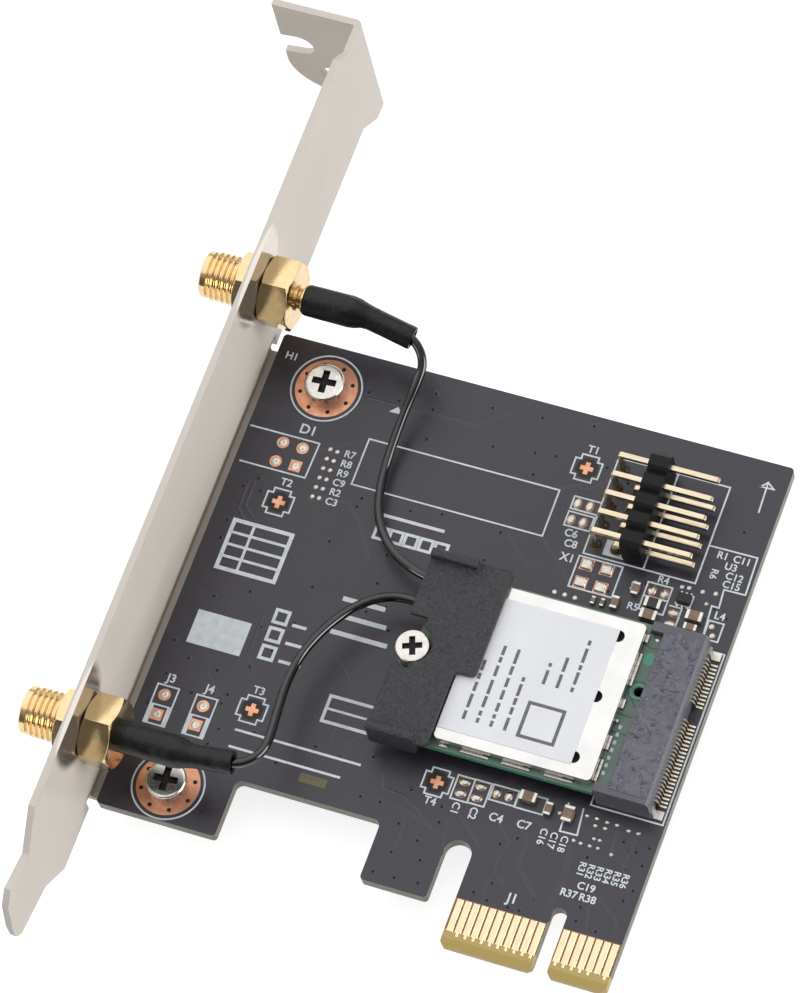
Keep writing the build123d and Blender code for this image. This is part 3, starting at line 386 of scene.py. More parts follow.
# The same mask where it rises over copper: a little smoother, so that tracks show by their sheen
TRACK_MASK = Finish("black_solder_mask_over_copper", "#2b2831", "#393541", roughness=0.3, patch_mm=3.0, ior=1.57)
# Window in the mask round an aiming mark: bare dark laminate, brown-black and dull
MASK_WINDOW = Finish("bare_dark_laminate", "#2b1f19", "#1d1613", roughness=0.55, patch_mm=0.8)
# Mask left off over clear laminate: dull olive with a glassy weave
OLIVE_WINDOW = Finish("bare_olive_laminate", "#6b6845", "#57543a", roughness=0.45, patch_mm=0.7)
# Drilled hole or tool recess, too narrow for light to reach its bottom
HOLE_SHADE = Finish("shaded_hole", "#060505", "#0d0a0a", roughness=0.7, patch_mm=0.5)
# Epoxy marking ink, screen printed: bluish white, dull, thinner in places
MARKING_INK = Finish("white_screen_printed_epoxy_ink", "#e3e9ee", "#c9d1d8", roughness=0.6, patch_mm=1.2)
# Hard gold over nickel on the contacts: pale warm gold with light insertion scuffs along Y
CONTACT_GOLD = Finish(
    "hard_gold_plate", "#fcdfbb", "#f2cda6", metallic=1.0, roughness=0.34, wander=0.08, patch_mm=0.7,
    stretch=(3.0, 0.4, 1.0),
)
# Thin flash gold on turned brass: champagne yellow, tight reflections, pitted a little by the plating
JACK_GOLD = Finish(
    "gold_flashed_turned_brass", "#ecd2a4", "#e3c592", metallic=1.0, roughness=0.15, wander=0.05, patch_mm=1.0,
    relief=Relief.GRAIN, relief_mm=0.35, depth_mm=0.006,
)
# Bare copper under a thin clear flux: pinkish orange with darker tarnish spots
BARE_COPPER = Finish(
    "bare_rolled_copper", "#e6ac8e", "#d3916f", metallic=0.9, roughness=0.36, patch_mm=1.0, relief=Relief.GRAIN,
    relief_mm=0.25, depth_mm=0.004,
)
# Nickel-plated cold-rolled steel sheet: even warm grey skin, burnished where the jacks were clamped
BRACKET_STEEL = SheetFinish(
    "nickel_plated_rolled_steel", "#d9d2ca", "#d3ccc3", roughness=0.16, wander=0.02, patch_mm=22.0, ior=1.08,
    burnished=((-58.21, 69.2, 14.0), (-58.21, 9.7, 14.0)),
)
# Bright zinc-plated steel screw: white silver, tight reflections with fine barrel marks
BRIGHT_SCREW = Finish("bright_zinc_plated_steel", "#dedad5", "#cfcac4", metallic=1.0, roughness=0.26, patch_mm=0.8)
# Polytetrafluoroethylene insulator: soft waxy white
INSULATOR = Finish("white_fluoropolymer", "#eeece6", "#e2dfd8", roughness=0.45, patch_mm=2.0)
# Polyolefin heat-shrink: satin black, slightly lumpy where it was shrunk
SHRINK_SLEEVE = Finish(
    "black_polyolefin_heat_shrink", "#0d0d0e", "#161618", roughness=0.36, wander=0.08, patch_mm=1.6, ior=1.42,
    relief=Relief.GRAIN, relief_mm=1.6, depth_mm=0.22,
)
# Fluoropolymer coax jacket: glossy black with a thin bright line of light
LEAD_JACKET = Finish(
    "black_fluoropolymer_jacket", "#030304", "#080809", roughness=0.09, wander=0.03, patch_mm=1.2, ior=1.7
)
# Green solder mask on the module over a copper plane: greyish green, semi-gloss, with a clear green cut edge
MODULE_MASK = MaskFinish(
    "green_solder_mask_on_glass_epoxy", "#6a8175", "#5f766a", roughness=0.35, patch_mm=3.0, relief=Relief.GRAIN,
    relief_mm=0.3, depth_mm=0.004, laminate="#4c9b7c", laminate_dark="#35705a", bare_below_mm=-100.0,
    between_below_mm=-100.0,
)
# Gaps in the module's copper plane: darker green where light sinks into the laminate
MODULE_GAP = Finish("green_solder_mask_over_laminate", "#3f6b59", "#365e4e", roughness=0.35, patch_mm=1.5)
# Mask over a bare test pad on the module: clear teal
MODULE_POUR = Finish("green_solder_mask_over_pad", "#58ab8f", "#4f9d83", roughness=0.32, patch_mm=1.5)
# Tin-plated nickel silver shield: near white, soft satin reflections
SHIELD_TIN = Finish(
    "tin_plated_nickel_silver", "#e2e1df", "#d8d7d5", metallic=1.0, roughness=0.28, patch_mm=4.0, relief=Relief.GRAIN,
    relief_mm=0.8, depth_mm=0.003,
)
# Coated paper label: cool white, flat
LABEL_PAPER = Finish(
    "coated_label_paper", "#e9eaed", "#e3e4e8", roughness=0.55, patch_mm=6.0, relief=Relief.GRAIN, relief_mm=0.4,
    depth_mm=0.004,
)
# Thermal print on the label: soft dark grey, a little faded
LABEL_PRINT = Finish("grey_thermal_print", "#5b5c60", "#74757a", roughness=0.6, patch_mm=0.6)
# Moulded epoxy chip package: black-grey, finely blasted
CHIP_EPOXY = Finish(
    "moulded_black_epoxy", "#1c1c1e", "#242426", roughness=0.55, patch_mm=1.0, relief=Relief.GRAIN, relief_mm=0.12,
    depth_mm=0.006,
)
# Glass-filled liquid crystal polymer socket: dark slate, slightly streaked by its flow
SOCKET_PLASTIC = Finish(
    "glass_filled_black_polymer", "#53535b", "#606068", roughness=0.42, patch_mm=1.6, stretch=(1.0, 0.4, 1.0),
    relief=Relief.GRAIN, relief_mm=0.3, depth_mm=0.02,
)
# Polyimide pick-up film: dark violet grey, crumpled, with small shining folds
PICKUP_FILM = Finish(
    "crumpled_dark_polyimide_film", "#545460", "#6c6b76", roughness=0.26, wander=0.1, patch_mm=1.2,
    relief=Relief.WRINKLED, relief_mm=1.0, depth_mm=0.55,
)
# Matt tin on copper alloy terminals: white grey, soft
TIN_PLATE = Finish("matt_tin_plate", "#dedbd3", "#c8c5bd", metallic=1.0, roughness=0.32, patch_mm=0.8)
# Reflowed solder: bright, slightly grainy domes
SOLDER = Finish(
    "reflowed_tin_solder", "#d9d4cb", "#b5afa6", metallic=1.0, roughness=0.26, wander=0.08, patch_mm=0.4,
    relief=Relief.GRAIN, relief_mm=0.2, depth_mm=0.006,
)
# Solder under the header's legs, browned by flux: dull bronze grey
FLUXED_SOLDER = Finish(
    "flux_stained_solder", "#6b6153", "#443c33", metallic=0.9, roughness=0.35, wander=0.1, patch_mm=0.5,
    relief=Relief.GRAIN, relief_mm=0.25, depth_mm=0.02,
)
# Moulded nylon clip: black with a coarse spark-eroded grain
CLIP_PLASTIC = Finish(
    "spark_grained_black_nylon", "#1e1e21", "#444449", roughness=0.44, wander=0.14, patch_mm=0.4, relief=Relief.GRAIN,
    relief_mm=0.4, depth_mm=0.28,
)
# Moulded header body: black nylon, dull
HEADER_PLASTIC = Finish(
    "moulded_dark_nylon", "#040405", "#0a0a0b", roughness=0.55, ior=1.38, patch_mm=1.0, relief=Relief.GRAIN,
    relief_mm=0.3, depth_mm=0.03,
)
# Flash gold on drawn square wire: pale cream gold
PIN_GOLD = Finish(
    "flash_gold_drawn_wire", "#e2d4bc", "#d3c3a4", metallic=1.0, roughness=0.24, patch_mm=0.8, stretch=(0.4, 2.0, 1.0)
)
# Tin over nickel on the socket's spring contacts: pale cream silver
SPRING_TIN = Finish("tinned_spring_contacts", "#f4ecdb", "#e6dcc6", metallic=1.0, roughness=0.28, patch_mm=0.6)
# Fired barium titanate capacitor: brown-grey ceramic, fine and dull
CAPACITOR_CERAMIC = Finish("fired_brown_ceramic", "#8d7763", "#7a6450", roughness=0.45, patch_mm=0.5)
# Glazed resistor top: black glass over film
RESISTOR_GLAZE = Finish("black_resistor_glaze", "#1a1a1c", "#26262a", roughness=0.3, patch_mm=0.4)


def copy_of(*nodes: str) -> BMesh:
    """Copy solids into one mesh in millimetres, merged and with their flat faces joined.

    Args:
        *nodes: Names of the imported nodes.

    Returns:
        The merged copy.
    """
    bm = bmesh.new()
    for node in nodes:
        bm.from_mesh(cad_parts[node].data)
    bmesh.ops.scale(bm, vec=(1 / MM,) * 3, verts=bm.verts)
    bmesh.ops.remove_doubles(bm, verts=bm.verts, dist=0.002)
    bmesh.ops.dissolve_limit(bm, angle_limit=math.radians(0.6), verts=bm.verts, edges=bm.edges, delimit={"NORMAL"})
    return bm


def soften(bm: BMesh, width: float, segments: int = 2, angle: float = 35.0, clamp: bool = True) -> None:
    """Round the sharp edges of a mesh.

    Args:
        bm: Mesh to change.
        width: Width of the rounding.
        segments: Faces across each rounding.
        angle: Smallest angle in degrees that counts as sharp.
        clamp: Whether the width gives way where edges are close.
    """
    limit = math.radians(angle)
    sharp = [edge for edge in bm.edges if edge.is_manifold and edge.calc_face_angle() > limit]
    bmesh.ops.bevel(
        bm, geom=sharp, offset=width, offset_type="OFFSET", segments=segments, profile=0.5, affect="EDGES",
        clamp_overlap=clamp, material=-1,
    )


def turn(bm: BMesh, profile: Sequence[Point], centre: Place, axis: Place = (0, 0, 1), steps: int = 24,
         closed: bool = False) -> None:
    """Turn a profile round an axis and add the closed shape to a mesh.

    Args:
        bm: Mesh that takes the shape.
        profile: Distance along the axis and radius of each point.
        centre: Point on the axis that the distances start from.
        axis: Direction of the axis.
        steps: Faces round the shape.
        closed: Whether the profile joins its own start, as a ring's does.
    """
    along = Vector(axis)
    out = along.orthogonal().normalized()
    verts = [bm.verts.new(Vector(centre) + along * step + out * radius) for step, radius in profile]
    edges = [bm.edges.new(pair) for pair in zip(verts, verts[1:])]
    if closed:
        edges.append(bm.edges.new((verts[-1], verts[0])))
    before = set(bm.faces)
    bmesh.ops.spin(bm, geom=verts + edges, cent=centre, axis=axis, angle=math.tau, steps=steps, use_merge=True)
    made = [face for face in bm.faces if face not in before]
    corners = list({vert for face in made for vert in face.verts})
    bmesh.ops.remove_doubles(bm, verts=corners, dist=0.0005)
    bmesh.ops.recalc_face_normals(bm, faces=[face for face in bm.faces if face not in before])


def slab(bm: BMesh, low: Place, high: Place, spin: float = 0.0, about: Point = (0.0, 0.0)) -> None:
    """Add a box between two corners, turned about a point of the board if asked.

    Args:
        bm: Mesh that takes the box.
        low: Lowest corner.
        high: Highest corner.
        spin: Turn about Z in degrees.
        about: Point that it turns about.
    """
    size = [b - a for a, b in zip(low, high)]
    middle = [(a + b) / 2 for a, b in zip(low, high)]
    pivot = Vector((*about, 0.0))
    swing = Matrix.Translation(pivot) @ Matrix.Rotation(math.radians(spin), 4, "Z") @ Matrix.Translation(-pivot)
    bmesh.ops.create_cube(bm, size=1.0, matrix=swing @ Matrix.Translation(middle) @ Matrix.Diagonal((*size, 1.0)))


def stroke(bm: BMesh, points: Sequence[Point], width: float, low: float, high: float, closed: bool = False,
           crown: float = 1.0) -> None:
    """Draw a line of even width on a level face, with its runs a hair apart in height where they meet.

    Args:
        bm: Mesh that takes the line.
        points: Corners of the line.
        width: Width of the line.
        low: Underside of the line.
        high: Top of the line.
        closed: Whether it returns to its start.
        crown: Share of the width that its top keeps, below one for sloping sides.
    """
    ends = list(points) + ([points[0]] if closed else [])
    for index, ((x0, y0), (x1, y1)) in enumerate(zip(ends, ends[1:])):
        length = math.hypot(x1 - x0, y1 - y0)
        top = high + RUN_STEP * (index % 2)
        verts = bmesh.ops.create_cube(bm, size=1.0)["verts"]
        bmesh.ops.scale(bm, vec=(1.0, crown, 1.0), verts=[vert for vert in verts if vert.co.z > 0])
        heading = Matrix.Rotation(math.atan2(y1 - y0, x1 - x0), 4, "Z")
        place = Matrix.Translation(((x0 + x1) / 2, (y0 + y1) / 2, (low + top) / 2))
        size = Matrix.Diagonal((length + width * RUN_OVERLAP, width, top - low, 1.0))
        bmesh.ops.transform(bm, matrix=place @ heading @ size, verts=verts)


def outline(bm: BMesh, box: Box, width: float, low: float, high: float) -> None:
    """Draw the outline of an upright rectangle.

    Args:
        bm: Mesh that takes the outline.
        box: Lowest X, highest X, lowest Y and highest Y.
        width: Width of the line.
        low: Underside of the line.
        high: Top of the line.
    """
    x0, x1, y0, y1 = box
    stroke(bm, ((x0, y0), (x1, y0), (x1, y1), (x0, y1)), width, low, high, closed=True)


def crop(bm: BMesh, at: Place, towards: Place) -> None:
    """Cut off what lies beyond a plane and close the cut.

    Args:
        bm: Mesh to change.
        at: Point on the plane.
        towards: Direction of the side that goes.
    """
    everything = bm.verts[:] + bm.edges[:] + bm.faces[:]
    cut = bmesh.ops.bisect_plane(bm, geom=everything, plane_co=at, plane_no=towards, clear_outer=True)["geom_cut"]
    bmesh.ops.holes_fill(bm, edges=[item for item in cut if isinstance(item, bmesh.types.BMEdge)], sides=0)


def cross(bm: BMesh, middle: Point, arm: float, width: float, low: float, high: float, spin: float = 0.0) -> None:
    """Add an upright cross of one bar and two arms.

    Args:
        bm: Mesh that takes the cross.
        middle: Middle of the cross.
        arm: Length over two arms.
        width: Width of an arm.
        low: Underside of the cross.
        high: Top of the cross.
        spin: Turn about Z in degrees.
    """
    x, y = middle
    long, wide = arm / 2, width / 2
    for x0, x1, y0, y1 in ((-long, long, -wide, wide), (-wide, wide, wide, long), (-wide, wide, -long, -wide)):
        slab(bm, (x + x0, y + y0, low), (x + x1, y + y1, high), spin, middle)


def screw_head(bm: BMesh, middle: Point, base: float, size: Place, recess: Place, spin: float = 0.0) -> None:
    """Turn a flat-topped screw head and sink a cross recess into it.

    Args:
        bm: Mesh that takes the head.
        middle: Middle of the head.
        base: Underside of the head.
        size: Radius, height and rounding of the rim.
        recess: Length over two arms, width of an arm and depth of the recess.
        spin: Turn of the recess about Z in degrees.
    """
    radius, height, rim = size
    arm, width, depth = recess
    corner = [math.radians(30 * step) for step in range(4)]
    curve = [(height - rim + rim * math.sin(a), radius - rim + rim * math.cos(a)) for a in corner]
    before = set(bm.verts)
    flat = (height, radius - rim - 0.06)
    turn(bm, [(0.0, 0.0), (0.0, radius), *curve, flat, (height, 0.0)], (*middle, base), steps=48)
    heading = Matrix.Rotation(math.radians(spin), 3, "Z")
    for reach in (arm / 2, -arm / 2, width / 2, -width / 2):
        for side in (Vector((1, 0, 0)), Vector((0, 1, 0))):
            verts = [vert for vert in bm.verts if vert not in before]
            faces = list({face for vert in verts for face in vert.link_faces})
            edges = list({edge for vert in verts for edge in vert.link_edges})
            across = heading @ side
            spot = Vector((*middle, base)) + across * reach
            bmesh.ops.bisect_plane(bm, geom=verts + edges + faces, dist=0.0001, plane_co=spot, plane_no=across)
    floor = []
    for face in bm.faces:
        gap = heading.inverted() @ (face.calc_center_median() - Vector((*middle, base + height)))
        near, far = sorted((abs(gap.x), abs(gap.y)))
        if abs(gap.z) < 0.01 and near < width / 2 and far < arm / 2:
            floor.append(face)
    sunk = bmesh.ops.extrude_face_region(bm, geom=floor)["geom"]
    bmesh.ops.delete(bm, geom=floor, context="FACES")
    lowered = [item for item in sunk if isinstance(item, bmesh.types.BMVert)]
    bmesh.ops.translate(bm, vec=(0, 0, -depth), verts=lowered)
    bmesh.ops.scale(bm, vec=(0.85, 0.85, 1.0), space=Matrix.Translation((-middle[0], -middle[1], 0)), verts=lowered)


def word(bm: BMesh, mark: tuple[str, float, float, float, float], z: float) -> None:
    """Print a short reference mark.

    Args:
        bm: Mesh that takes the print.
        mark: Its text, middle along X and Y, height of letters and turn about Z in degrees.
        z: Height of its face.
    """
    text, x, y, size, spin = mark
    curve = bpy.data.curves.new("mark", "FONT")
    curve.body, curve.size, curve.align_x, curve.align_y = text, size * 1.35, "CENTER", "CENTER"
    curve.offset = size * 0.03
    holder = bpy.data.objects.new("mark", curve)
    mesh = bpy.data.meshes.new_from_object(holder)
    mesh.transform(Matrix.Translation((x, y, z)) @ Matrix.Rotation(math.radians(spin), 4, "Z"))
    bm.from_mesh(mesh)
    bpy.data.objects.remove(holder)
    bpy.data.curves.remove(curve)
    bpy.data.meshes.remove(mesh)


def keep_flat(mesh: Mesh, smooth: float) -> None:
    """Weight the shading by the size of the faces, so that flat faces stay flat beside rounded edges.

    Args:
        mesh: Mesh to shade.
        smooth: Angle in degrees below which neighbouring faces shade as one.
    """
    limit = math.cos(math.radians(smooth))
    around: list[list[tuple[Vector, float]]] = [[] for _ in mesh.vertices]
    for face in mesh.polygons:
        for vert in face.vertices:
            around[vert].append((face.normal.copy(), face.area))
    normals = []
    for face in mesh.polygons:
        for vert in face.vertices:
            total = Vector((0, 0, 0))
            for normal, area in around[vert]:
                if normal.dot(face.normal) > limit:
                    total += normal * area
            normals.append(total.normalized() if total.length > 0 else face.normal.copy())
    mesh.normals_split_custom_set(normals)


def piece(bm: BMesh, name: str, finish: Finish, stands_for: Iterable[str] = (),
          smooth: float = 30.0) -> None:
    """Turn a mesh into a finished piece of the card.

    Args:
        bm: Mesh in millimetres, which is used up.
        name: Name of the piece.
        finish: Its finish.
        stands_for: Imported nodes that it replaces.
        smooth: Angle in degrees below which neighbouring faces shade as one.
    """
    bmesh.ops.scale(bm, vec=(MM,) * 3, verts=bm.verts)
    mesh = bpy.data.meshes.new(name)
    bm.to_mesh(mesh)
    bm.free()
    mesh.polygons.foreach_set("use_smooth", [True] * len(mesh.polygons))
    mesh.set_sharp_from_angle(angle=math.radians(smooth))
    keep_flat(mesh, smooth)
    mesh.materials.append(material_of(finish))
    thing = put(name, mesh)
    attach(thing, "root")
    if stands_for:
        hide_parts(*stands_for)
    LOG.info("%s: %d faces in %s", name, len(mesh.polygons), finish.name)


@dataclass
class Studio:
    """The pale floor, the soft light and the camera at the photograph's angle.

    Attributes:
        eye: Place of the camera.
        right: Direction of the picture's right side.
        up: Direction of the picture's top.
        back: Direction from the scene to the camera.
        lens: Focal length for a 36 mm picture height.
        gap: Space between the object and the floor.
        glow: How brightly the floor shows itself to the camera and in reflections.
        paper: Grey level at which the floor scatters light.
        sky: Direction of the sky's brightest part.
        ramp: Least and most tilt towards it, and the sky's level at each.
        panels: Square light panels as name, place and length of sides in metres, and power in watts.
        aim: Point that the panels face, in metres.
    """

    eye: Place = (146.78, -200.14, 618.85)
    right: Place = (0.9308, 0.3391, -0.1365)
    up: Place = (-0.2531, 0.8674, 0.4285)
    back: Place = (0.2637, -0.3643, 0.8932)
    lens: float = 210.9
    gap: float = 0.05
    glow: float = 0.8
    paper: float = 0.45
    sky: Place = (-0.25, 0.5, 0.83)
    ramp: Box = (0.1, 0.85, 0.1, 0.72)
    panels: Sequence[tuple[str, Place, float, float]] = (
        ("overhead", (-0.45, 0.45, 0.85), 1.6, 5.2),
        ("side", (1.1, 0.1, 0.25), 0.8, 12.0),
        ("front", (-0.8, -0.75, 0.35), 0.5, 4.5),
    )
    aim: Place = (-0.02, 0.04, 0.0)

    def camera(self) -> None:
        """Set up the camera that sees the card as the photograph does."""
        data = bpy.data.cameras.new("camera")
        data.sensor_width, data.lens = 36.0, self.lens
        eye = put("camera", data)
        turned = Matrix((self.right, self.up, self.back)).transposed().to_4x4()
        eye.matrix_world = Matrix.Translation(Vector(self.eye) * MM) @ turned
        bpy.context.scene.camera = eye

    def floor(self) -> None:
        """Lay a white floor that keeps the card's soft shadow."""
        material = bpy.data.materials.new("white_paper_floor")
        tree = empty_tree(material)
        rays = add_node(tree, "ShaderNodeLightPath").outputs
        seen = rays["Is Camera Ray"]
        for kind in ("Is Glossy Ray", "Is Transmission Ray"):
            seen = add_node(tree, "ShaderNodeMath", {0: seen, 1: rays[kind]}, operation="MAXIMUM").outputs[0]
        lift = add_node(tree, "ShaderNodeMath", {0: seen, 1: self.glow}, operation="MULTIPLY").outputs[0]
        glow = add_node(tree, "ShaderNodeEmission", {"Color": (1, 1, 1, 1), "Strength": lift})
        paper = add_node(tree, "ShaderNodeBsdfDiffuse", {"Color": (self.paper, self.paper, self.paper, 1)})
        both = add_node(tree, "ShaderNodeAddShader", {0: glow.outputs[0], 1: paper.outputs[0]})
        add_node(tree, "ShaderNodeOutputMaterial", {"Surface": both.outputs[0]})
        mesh = bpy.data.meshes.new("floor")
        bm = bmesh.new()
        bmesh.ops.create_grid(bm, x_segments=2, y_segments=2, size=4.0)
        bmesh.ops.translate(bm, vec=(0, 0, CAD_BOX[0][2] - self.gap * MM), verts=bm.verts)
        bm.to_mesh(mesh)
        bm.free()
        mesh.materials.append(material)
        put("floor", mesh)

    def light(self) -> None:
        """Light the card with a soft sky, one large overhead panel and two low fills."""
        world = bpy.data.worlds.new("studio")
        bpy.context.scene.world = world
        tree = empty_tree(world)
        heading = add_node(tree, "ShaderNodeTexCoord").outputs["Generated"]
        towards = {0: heading, 1: self.sky}
        tilt = add_node(tree, "ShaderNodeVectorMath", towards, operation="DOT_PRODUCT").outputs["Value"]
        ramp = {"Value": tilt, **dict(zip(("From Min", "From Max", "To Min", "To Max"), self.ramp))}
        sky = add_node(tree, "ShaderNodeMapRange", ramp).outputs[0]
        camera = add_node(tree, "ShaderNodeLightPath").outputs["Is Camera Ray"]
        level = add_node(tree, "ShaderNodeMath", {0: sky, 1: camera}, operation="MAXIMUM").outputs[0]
        glow = add_node(tree, "ShaderNodeBackground", {"Color": (1, 1, 1, 1), "Strength": level})
        add_node(tree, "ShaderNodeOutputWorld", {"Surface": glow.outputs[0]})
        for name, place, size, power in self.panels:
            data = bpy.data.lights.new(name, "AREA")
            data.size, data.energy = size, power
            facing = (Vector(self.aim) - Vector(place)).to_track_quat("-Z", "Y").to_matrix().to_4x4()
            put(name, data).matrix_world = Matrix.Translation(place) @ facing


@dataclass
class AntennaJack:
    """One bulkhead antenna jack with its nut, sleeve and coax lead.

    Attributes:
        name: Which of the two jacks it is.
        y: Height of its axis up the board.
        route: Control points of the lead.
        length: Length of the lead; not used.
        sleeve: Middle and radius of the sleeve at its stations.
        z: Distance of its axis in front of the board.
        seat: Inner face of the bracket along X.
        tip: Open end of the barrel along X.
        crest: Radius over the thread.
        root: Radius at the bottom of the thread.
        pitch: Distance between two threads.
        lead_radius: Radius of the lead.
    """

    name: str
    y: float
    route: Sequence[Place]
    length: float
    sleeve: Sequence[tuple[float, float, float, float]]
    z: float = 8.4
    seat: float = -58.21
    tip: float = -66.2
    crest: float = 3.0
    root: float = 2.62
    pitch: float = 0.706
    lead_radius: float = 0.565

    def build(self) -> None:
        """Build the lead, the threaded body and the sleeve."""
        self.lead()
        self.body()
        self.sleeving()

    def lead(self) -> None:
        """Lay the coax lead as one smooth spline through the route's points."""
        curve = bpy.data.curves.new(f"{self.name}_lead", "CURVE")
        curve.dimensions = "3D"
        curve.bevel_depth = self.lead_radius * MM
        curve.bevel_resolution = 5
        curve.resolution_u = 10
        curve.use_fill_caps = True
        spline = curve.splines.new("NURBS")
        spline.points.add(len(self.route) - 1)
        for control, place in zip(spline.points, self.route):
            control.co = (*(value * MM for value in place), 1.0)
        spline.order_u = 3
        spline.use_endpoint_u = True
        curve.materials.append(material_of(LEAD_JACKET))
        cable = put(f"{self.name}_lead", curve)
        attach(cable, "root")
        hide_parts(f"{self.name}_coax_lead")
        LOG.info("%s_lead: spline of %d points in %s", self.name, len(self.route), LEAD_JACKET.name)

    def body(self) -> None:
        """Join the rounded hexagon and tail to a barrel with a cut thread."""
        bm = copy_of(f"{self.name}_jack_body")
        crop(bm, (self.seat - 0.05, self.y, self.z), (-1, 0, 0))
        soften(bm, 0.14)
        collar = self.tip + 0.95
        profile = [
            (self.tip + 2.6, 0.0), (self.tip + 2.6, 2.3), (self.tip + 0.12, 2.3), (self.tip, 2.42), (self.tip, 2.72),
            (self.tip + 0.18, 2.9), (collar - 0.12, 2.9), (collar, 2.78), (collar + 0.1, self.root),
        ]
        start = collar + 0.25
        for turn_number in range(6):
            x = start + turn_number * self.pitch
            profile += [(x, self.root), (x + 0.2, self.crest), (x + 0.36, self.crest), (x + 0.56, self.root)]
        profile += [(self.seat - 0.1, self.root), (self.seat - 0.1, 0.0)]
        turn(bm, [(x - self.tip, r) for x, r in profile], (self.tip, self.y, self.z), (1, 0, 0), steps=56)
        piece(bm, f"{self.name}_threaded_jack", JACK_GOLD, (f"{self.name}_jack_body",))

    def sleeving(self) -> None:
        """Shrink the sleeve over the crimp tail, with an open mouth round the lead."""
        bm = bmesh.new()
        loops = []
        middles = [Vector(station[:3]) for station in self.sleeve]
        for index, (middle, station) in enumerate(zip(middles, self.sleeve)):
            ahead = middles[min(index + 1, len(middles) - 1)] - middles[max(index - 1, 0)]
            if ahead.x < 0:
                ahead.negate()
            facing = ahead.to_track_quat("Z", "Y").to_matrix().to_4x4()
            ring = bmesh.ops.create_circle(
                bm, cap_ends=False, radius=station[3], segments=40, matrix=Matrix.Translation(middle) @ facing
            )
            loops.append(list({edge for vert in ring["verts"] for edge in vert.link_edges}))
        for first, second in zip(loops, loops[1:]):
            bmesh.ops.bridge_loops(bm, edges=first + second)
        bmesh.ops.holes_fill(bm, edges=loops[0] + loops[-1], sides=0)
        bmesh.ops.recalc_face_normals(bm, faces=bm.faces)
        piece(bm, f"{self.name}_shrink_sleeve", SHRINK_SLEEVE, (f"{self.name}_sleeve",), smooth=50.0)


UPPER_JACK = AntennaJack(
    "upper",
    70.2,
    (
        (-47.8, 70.2, 8.4), (-45.6, 70.22, 8.22), (-43.4, 70.0, 7.78), (-41.4, 69.77, 7.38), (-40.1, 69.6, 7.1),
        (-39.06, 69.13, 6.74), (-38.23, 68.38, 6.3), (-37.69, 67.42, 5.81), (-37.5, 66.34, 5.32), (-37.75, 64.5, 4.58),
        (-38.15, 62.2, 3.6), (-38.45, 59.2, 2.55), (-38.5, 55.7, 1.9), (-38.15, 52.1, 1.7), (-37.2, 48.8, 1.9),
        (-35.4, 45.9, 2.4), (-32.8, 43.55, 3.15), (-29.9, 42.15, 3.65), (-27.6, 41.63, 3.84), (-25.6, 41.5, 3.86),
    ),
    45.52,
    (
        (-53.3, 70.2, 8.4, 1.78), (-53.0, 70.2, 8.4, 1.9), (-51.0, 70.2, 8.4, 1.93), (-49.0, 70.2, 8.4, 1.93),
        (-47.5, 70.2, 8.4, 1.95), (-46.6, 70.22, 8.3, 1.82), (-45.8, 70.24, 8.18, 1.56), (-45.0, 70.18, 8.03, 1.45),
        (-43.0, 69.94, 7.64, 1.43), (-41.0, 69.68, 7.24, 1.43), (-39.75, 69.53, 7.0, 1.45), (-39.52, 69.5, 6.95, 1.38),
        (-39.5, 69.5, 6.95, 1.08), (-39.75, 69.53, 7.0, 0.96), (-42.0, 69.81, 7.44, 0.9),
    ),
)
LOWER_JACK = AntennaJack(
    "lower",
    10.7,
    (
        (-47.8, 10.7, 8.4), (-45.8, 10.72, 8.44), (-43.8, 10.86, 8.49), (-41.8, 10.98, 8.54), (-40.42, 11.17, 8.56),
        (-39.32, 11.65, 8.52), (-38.44, 12.45, 8.42), (-37.85, 13.48, 8.27), (-37.6, 14.64, 8.08), (-37.75, 16.6, 7.74),
        (-38.2, 19.6, 7.1), (-38.65, 23.2, 6.5), (-38.5, 27.0, 5.9), (-37.5, 30.6, 5.38), (-35.8, 34.0, 4.9),
        (-33.8, 36.5, 4.5), (-31.5, 38.02, 4.15), (-29.4, 38.44, 3.94), (-27.5, 38.33, 3.87), (-25.6, 38.3, 3.86),
    ),
    44.24,
    (
        (-54.6, 10.7, 8.4, 1.86), (-54.3, 10.7, 8.4, 1.92), (-51.0, 10.7, 8.4, 1.93), (-49.0, 10.7, 8.4, 1.93),
        (-47.5, 10.7, 8.4, 1.95), (-46.6, 10.72, 8.41, 1.82), (-45.8, 10.74, 8.42, 1.56), (-45.0, 10.81, 8.43, 1.45),
        (-43.5, 10.95, 8.47, 1.43), (-42.0, 11.1, 8.51, 1.43), (-40.65, 11.23, 8.54, 1.45), (-40.42, 11.25, 8.55, 1.38),
        (-40.4, 11.25, 8.55, 1.08), (-40.65, 11.23, 8.54, 0.96), (-43.0, 11.0, 8.48, 0.9),
    ),
)


@dataclass
class SlotBracket:
    """The folded slot bracket.

    Attributes:
        edge_radius: Rounding of the sheared edges.
        web: Corners of the narrow web between the two flanges, which closes the gap beside the board.
    """

    edge_radius: float = 0.14
    web: tuple[Place, Place] = ((-58.3, 14.2, -2.43), (-56.7, 58.2, -1.58))

    def build(self) -> None:
        """Add the web and round the sheet's edges."""
        sheet = copy_of("bracket")
        slab(sheet, *self.web)
        soften(sheet, self.edge_radius)
        piece(sheet, "folded_bracket", BRACKET_STEEL, ("bracket",))


